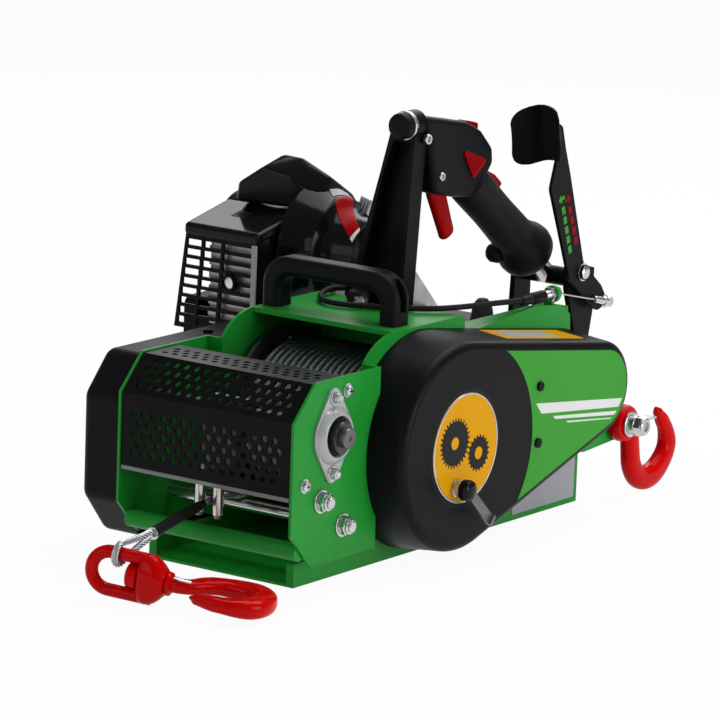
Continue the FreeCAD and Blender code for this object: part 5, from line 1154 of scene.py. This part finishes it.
def lock_nut(start, way, r, stud):
    """Washer, lock nut and stud end."""
    out = (way, 0, 0)
    washer = [(0, r + 1.6), (0.4, r + 2), (1.6, r + 2), (2, r + 1.5)]
    nut = [(2, r * 0.93), (2.8, r), (r * 0.75, r), (r * 0.86, r * 0.92)]
    crown = [(r * 0.8, r * 0.82), (r * 1.05, r * 0.8), (r * 1.16, r * 0.68), (r * 1.16, stud)]
    end = [(r * 0.8, stud), (r * 1.3, stud), (r * 1.4, stud - 0.8)]
    round_parts = [lathe(profile, start, out) for profile in (washer, crown, end)]
    return join(lathe(nut, start, out, 6), *round_parts)


def front_fasteners():
    """Lock nuts of the guide rods and bearings, pan head screws of the guard with painted shade in their
    slots, and the guard's hem.
    """
    head = [(0, 7.2), (1, 7.2), (1, 5.4), (3.4, 5.4), (4.8, 4.2), (5.2, 2.2), (5.2, 0.4)]
    shapes = []
    slot_shades = []
    for side in (-1, 1):
        x = side * BOX_X
        for y, z in RODS:
            shapes.append(lock_nut((x, y, z), side, ROD_NUT_R, ROD_STUD_R))
        for rise in (-EAR_SPAN, EAR_SPAN):
            ear = (x + side * EAR_NUT_LIFT, SCREW[0], SCREW[1] + rise)
            shapes.append(lock_nut(ear, side, EAR_NUT_R, EAR_STUD_R))
        low, high = sorted((x + side * 5.0, x + side * 5.3))
        for y, z in GUARD_SCREWS:
            shapes.append(lathe(head, (x, y, z), (side, 0, 0)))
            # Each slot is a thin black cross on the zinc head: painted shade standing in for the cut.
            for half_y, half_z in ((SLOT_HALF, SLOT_T), (SLOT_T, SLOT_HALF)):
                slot_shades.append(prism(rectangle(y - half_y, y + half_y, z - half_z, z + half_z), low, high))
    piece("frame_nuts", join(*shapes), ZINC, stands_for=["frame_fasteners"])
    piece("screw_slot_shade", join(*slot_shades), LABEL_BLACK, slot="black_screws")
    piece("guard_hem", prism(rounded(rectangle(*HEM), 1.2), -HEM_X, HEM_X), DARK_STEEL)


# Engine
def hull(points):
    """Convex shape round points."""
    build = bmesh.new()
    for point in points:
        build.verts.new(point)
    bmesh.ops.convex_hull(build, input=build.verts)
    loose = [vertex for vertex in build.verts if not vertex.link_faces]
    bmesh.ops.delete(build, geom=loose, context="VERTS")
    bmesh.ops.dissolve_limit(build, angle_limit=math.radians(2), verts=build.verts, edges=build.edges)
    build.verts.index_update()
    corners = [vertex.co.copy() for vertex in build.verts]
    faces = [[vertex.index for vertex in face.verts] for face in build.faces]
    build.free()
    return corners, faces


def crank_point(x, radius, degrees):
    """Point at a station, a radius and an angle about the crank."""
    turn = math.radians(degrees)
    return Vector((x, CRANK[0] + radius * math.cos(turn), CRANK[1] + radius * math.sin(turn)))


def turned(section, first, last):
    """Section of (x, radius) points turned about the crank between two angles in degrees."""
    angles = [first + (last - first) * i / FIN_STEPS for i in range(FIN_STEPS + 1)]
    return rings([[crank_point(x, radius, angle) for x, radius in section] for angle in angles])


def shell_point(x, angle, lift):
    """Point over the fan shell at a station and an angle in degrees."""
    for (x0, r0), (x1, r1) in zip(FLARE, FLARE[1:]):
        if x0 <= x <= x1:
            radius = r0 + (r1 - r0) * (x - x0) / (x1 - x0) + lift
    return crank_point(x, radius, angle)


def shell_patch(corners):
    """Thin patch on the fan shell between four (station, angle) corners."""
    a, b, c, d = [Vector(corner) for corner in corners]
    loops = []
    for i in range(17):
        left = a.lerp(d, i / 16)
        right = b.lerp(c, i / 16)
        row = [left.lerp(right, k / 6) for k in range(7)]
        top = [shell_point(x, angle, 0.6) for x, angle in row]
        under = [shell_point(x, angle, -0.4) for x, angle in reversed(row)]
        loops.append(top + under)
    return rings(loops)


def engine_cowl():
    """Faceted top cover, the round fan shell with its plain stripes and the gear case's fins."""
    piece("cowl", hull(HELMET), GLOSS, stands_for=["top_cover"], bevel=3.5)
    shell = [(-165.5, 50), (-165.5, 69), (-163, 72.4), *FLARE, (-87.8, 36.5), (-87.6, 1)]
    piece("fan_shell", lathe(shell, (0, *CRANK), steps=72), GLOSS, stands_for=["fan_housing"])
    for name, corners, paint in SHELL_STRIPES:
        piece(name, shell_patch(corners), paint, angle=60)
    fins = []
    for i in range(FINS):
        x = FIN_X + FIN_PITCH * i
        section = [(x, FIN_ROOT_R), (x, FIN_R - i), (x + FIN_T, FIN_R - 1 - i), (x + FIN_T, FIN_ROOT_R)]
        fins.append(turned(section, *FIN_ANGLES))
    piece("case_fins", join(*fins), ALLOY, bevel=0.4)


def shroud_cap():
    """Rounded top skin of the cylinder shroud with its latch recess."""
    front_y, rear_y = SHROUD_Y
    front_z, rear_z = SHROUD_Z
    skin = [(front_y, front_z - CAP_T), (front_y, front_z), (rear_y, rear_z), (rear_y, rear_z - CAP_T)]
    piece("shroud_cap", prism(skin, *SHROUD_X), GLOSS, bevel=4)
    slope = (rear_z - front_z) / (rear_y - front_y)
    for name, half_x, half_y, lift, paint in (
        ("latch_frame", 9, 7, 0.5, LABEL_BLACK), ("latch_slot", 6, 3, 0.8, PLASTIC),
    ):
        plate = []
        for y, rise in ((-half_y, -1), (-half_y, lift), (half_y, lift), (half_y, -1)):
            plate.append((LATCH[1] + y, front_z + (LATCH[1] + y - front_y) * slope + rise))
        piece(name, prism(plate, LATCH[0] - half_x, LATCH[0] + half_x), paint)


def drive_casing():
    """Cast housing seen in the open tray behind the deck, with its breather."""
    plate = prism(rectangle(*CASING), TRAY_Z + 0.1, TRAY_Z + 1.5, "z")
    dome = [(0.5, 14), (8, 12.5), (20, 11), (27, 8.5), (31, 5), (32, 1)]
    piece("drive_casing", join(plate, lathe(dome, BREATHER, UP)), CAST)


def muffler_trim():
    """Pale strip on the muffler's guard and the outlet's ring and disc."""
    strip = prism(rounded(rectangle(*GUARD_STRIP), 1), *GUARD_STRIP_Y, "y")
    piece("guard_strip", strip, LABEL_GREY, bevel=0.4)
    ring = [(0, 6.2), (0, 9.6), (3.2, 9.6), (3.8, 8.8), (3.8, 7.0)]
    piece("outlet_ring", lathe(ring, OUTLET, FRONT, closed=True), BLACK)
    disc = [(0, 6.4), (1.4, 6.4), (1.8, 5.4), (1.8, 0.4)]
    piece("outlet_disc", lathe(disc, OUTLET, FRONT), ZINC)


set_camera()
set_floor()
set_light()
finish_nodes()
rope_group()
cable()
deck_fittings()
winding()
bearings()
front_fasteners()
rear_hook()
anchor_bolt()
cover_labels()
top_sticker()
disc_label()
spool_lever()
handle_shell()
red_controls()
grip()
start_lever()
engine_cowl()
shroud_cap()
drive_casing()
muffler_trim()
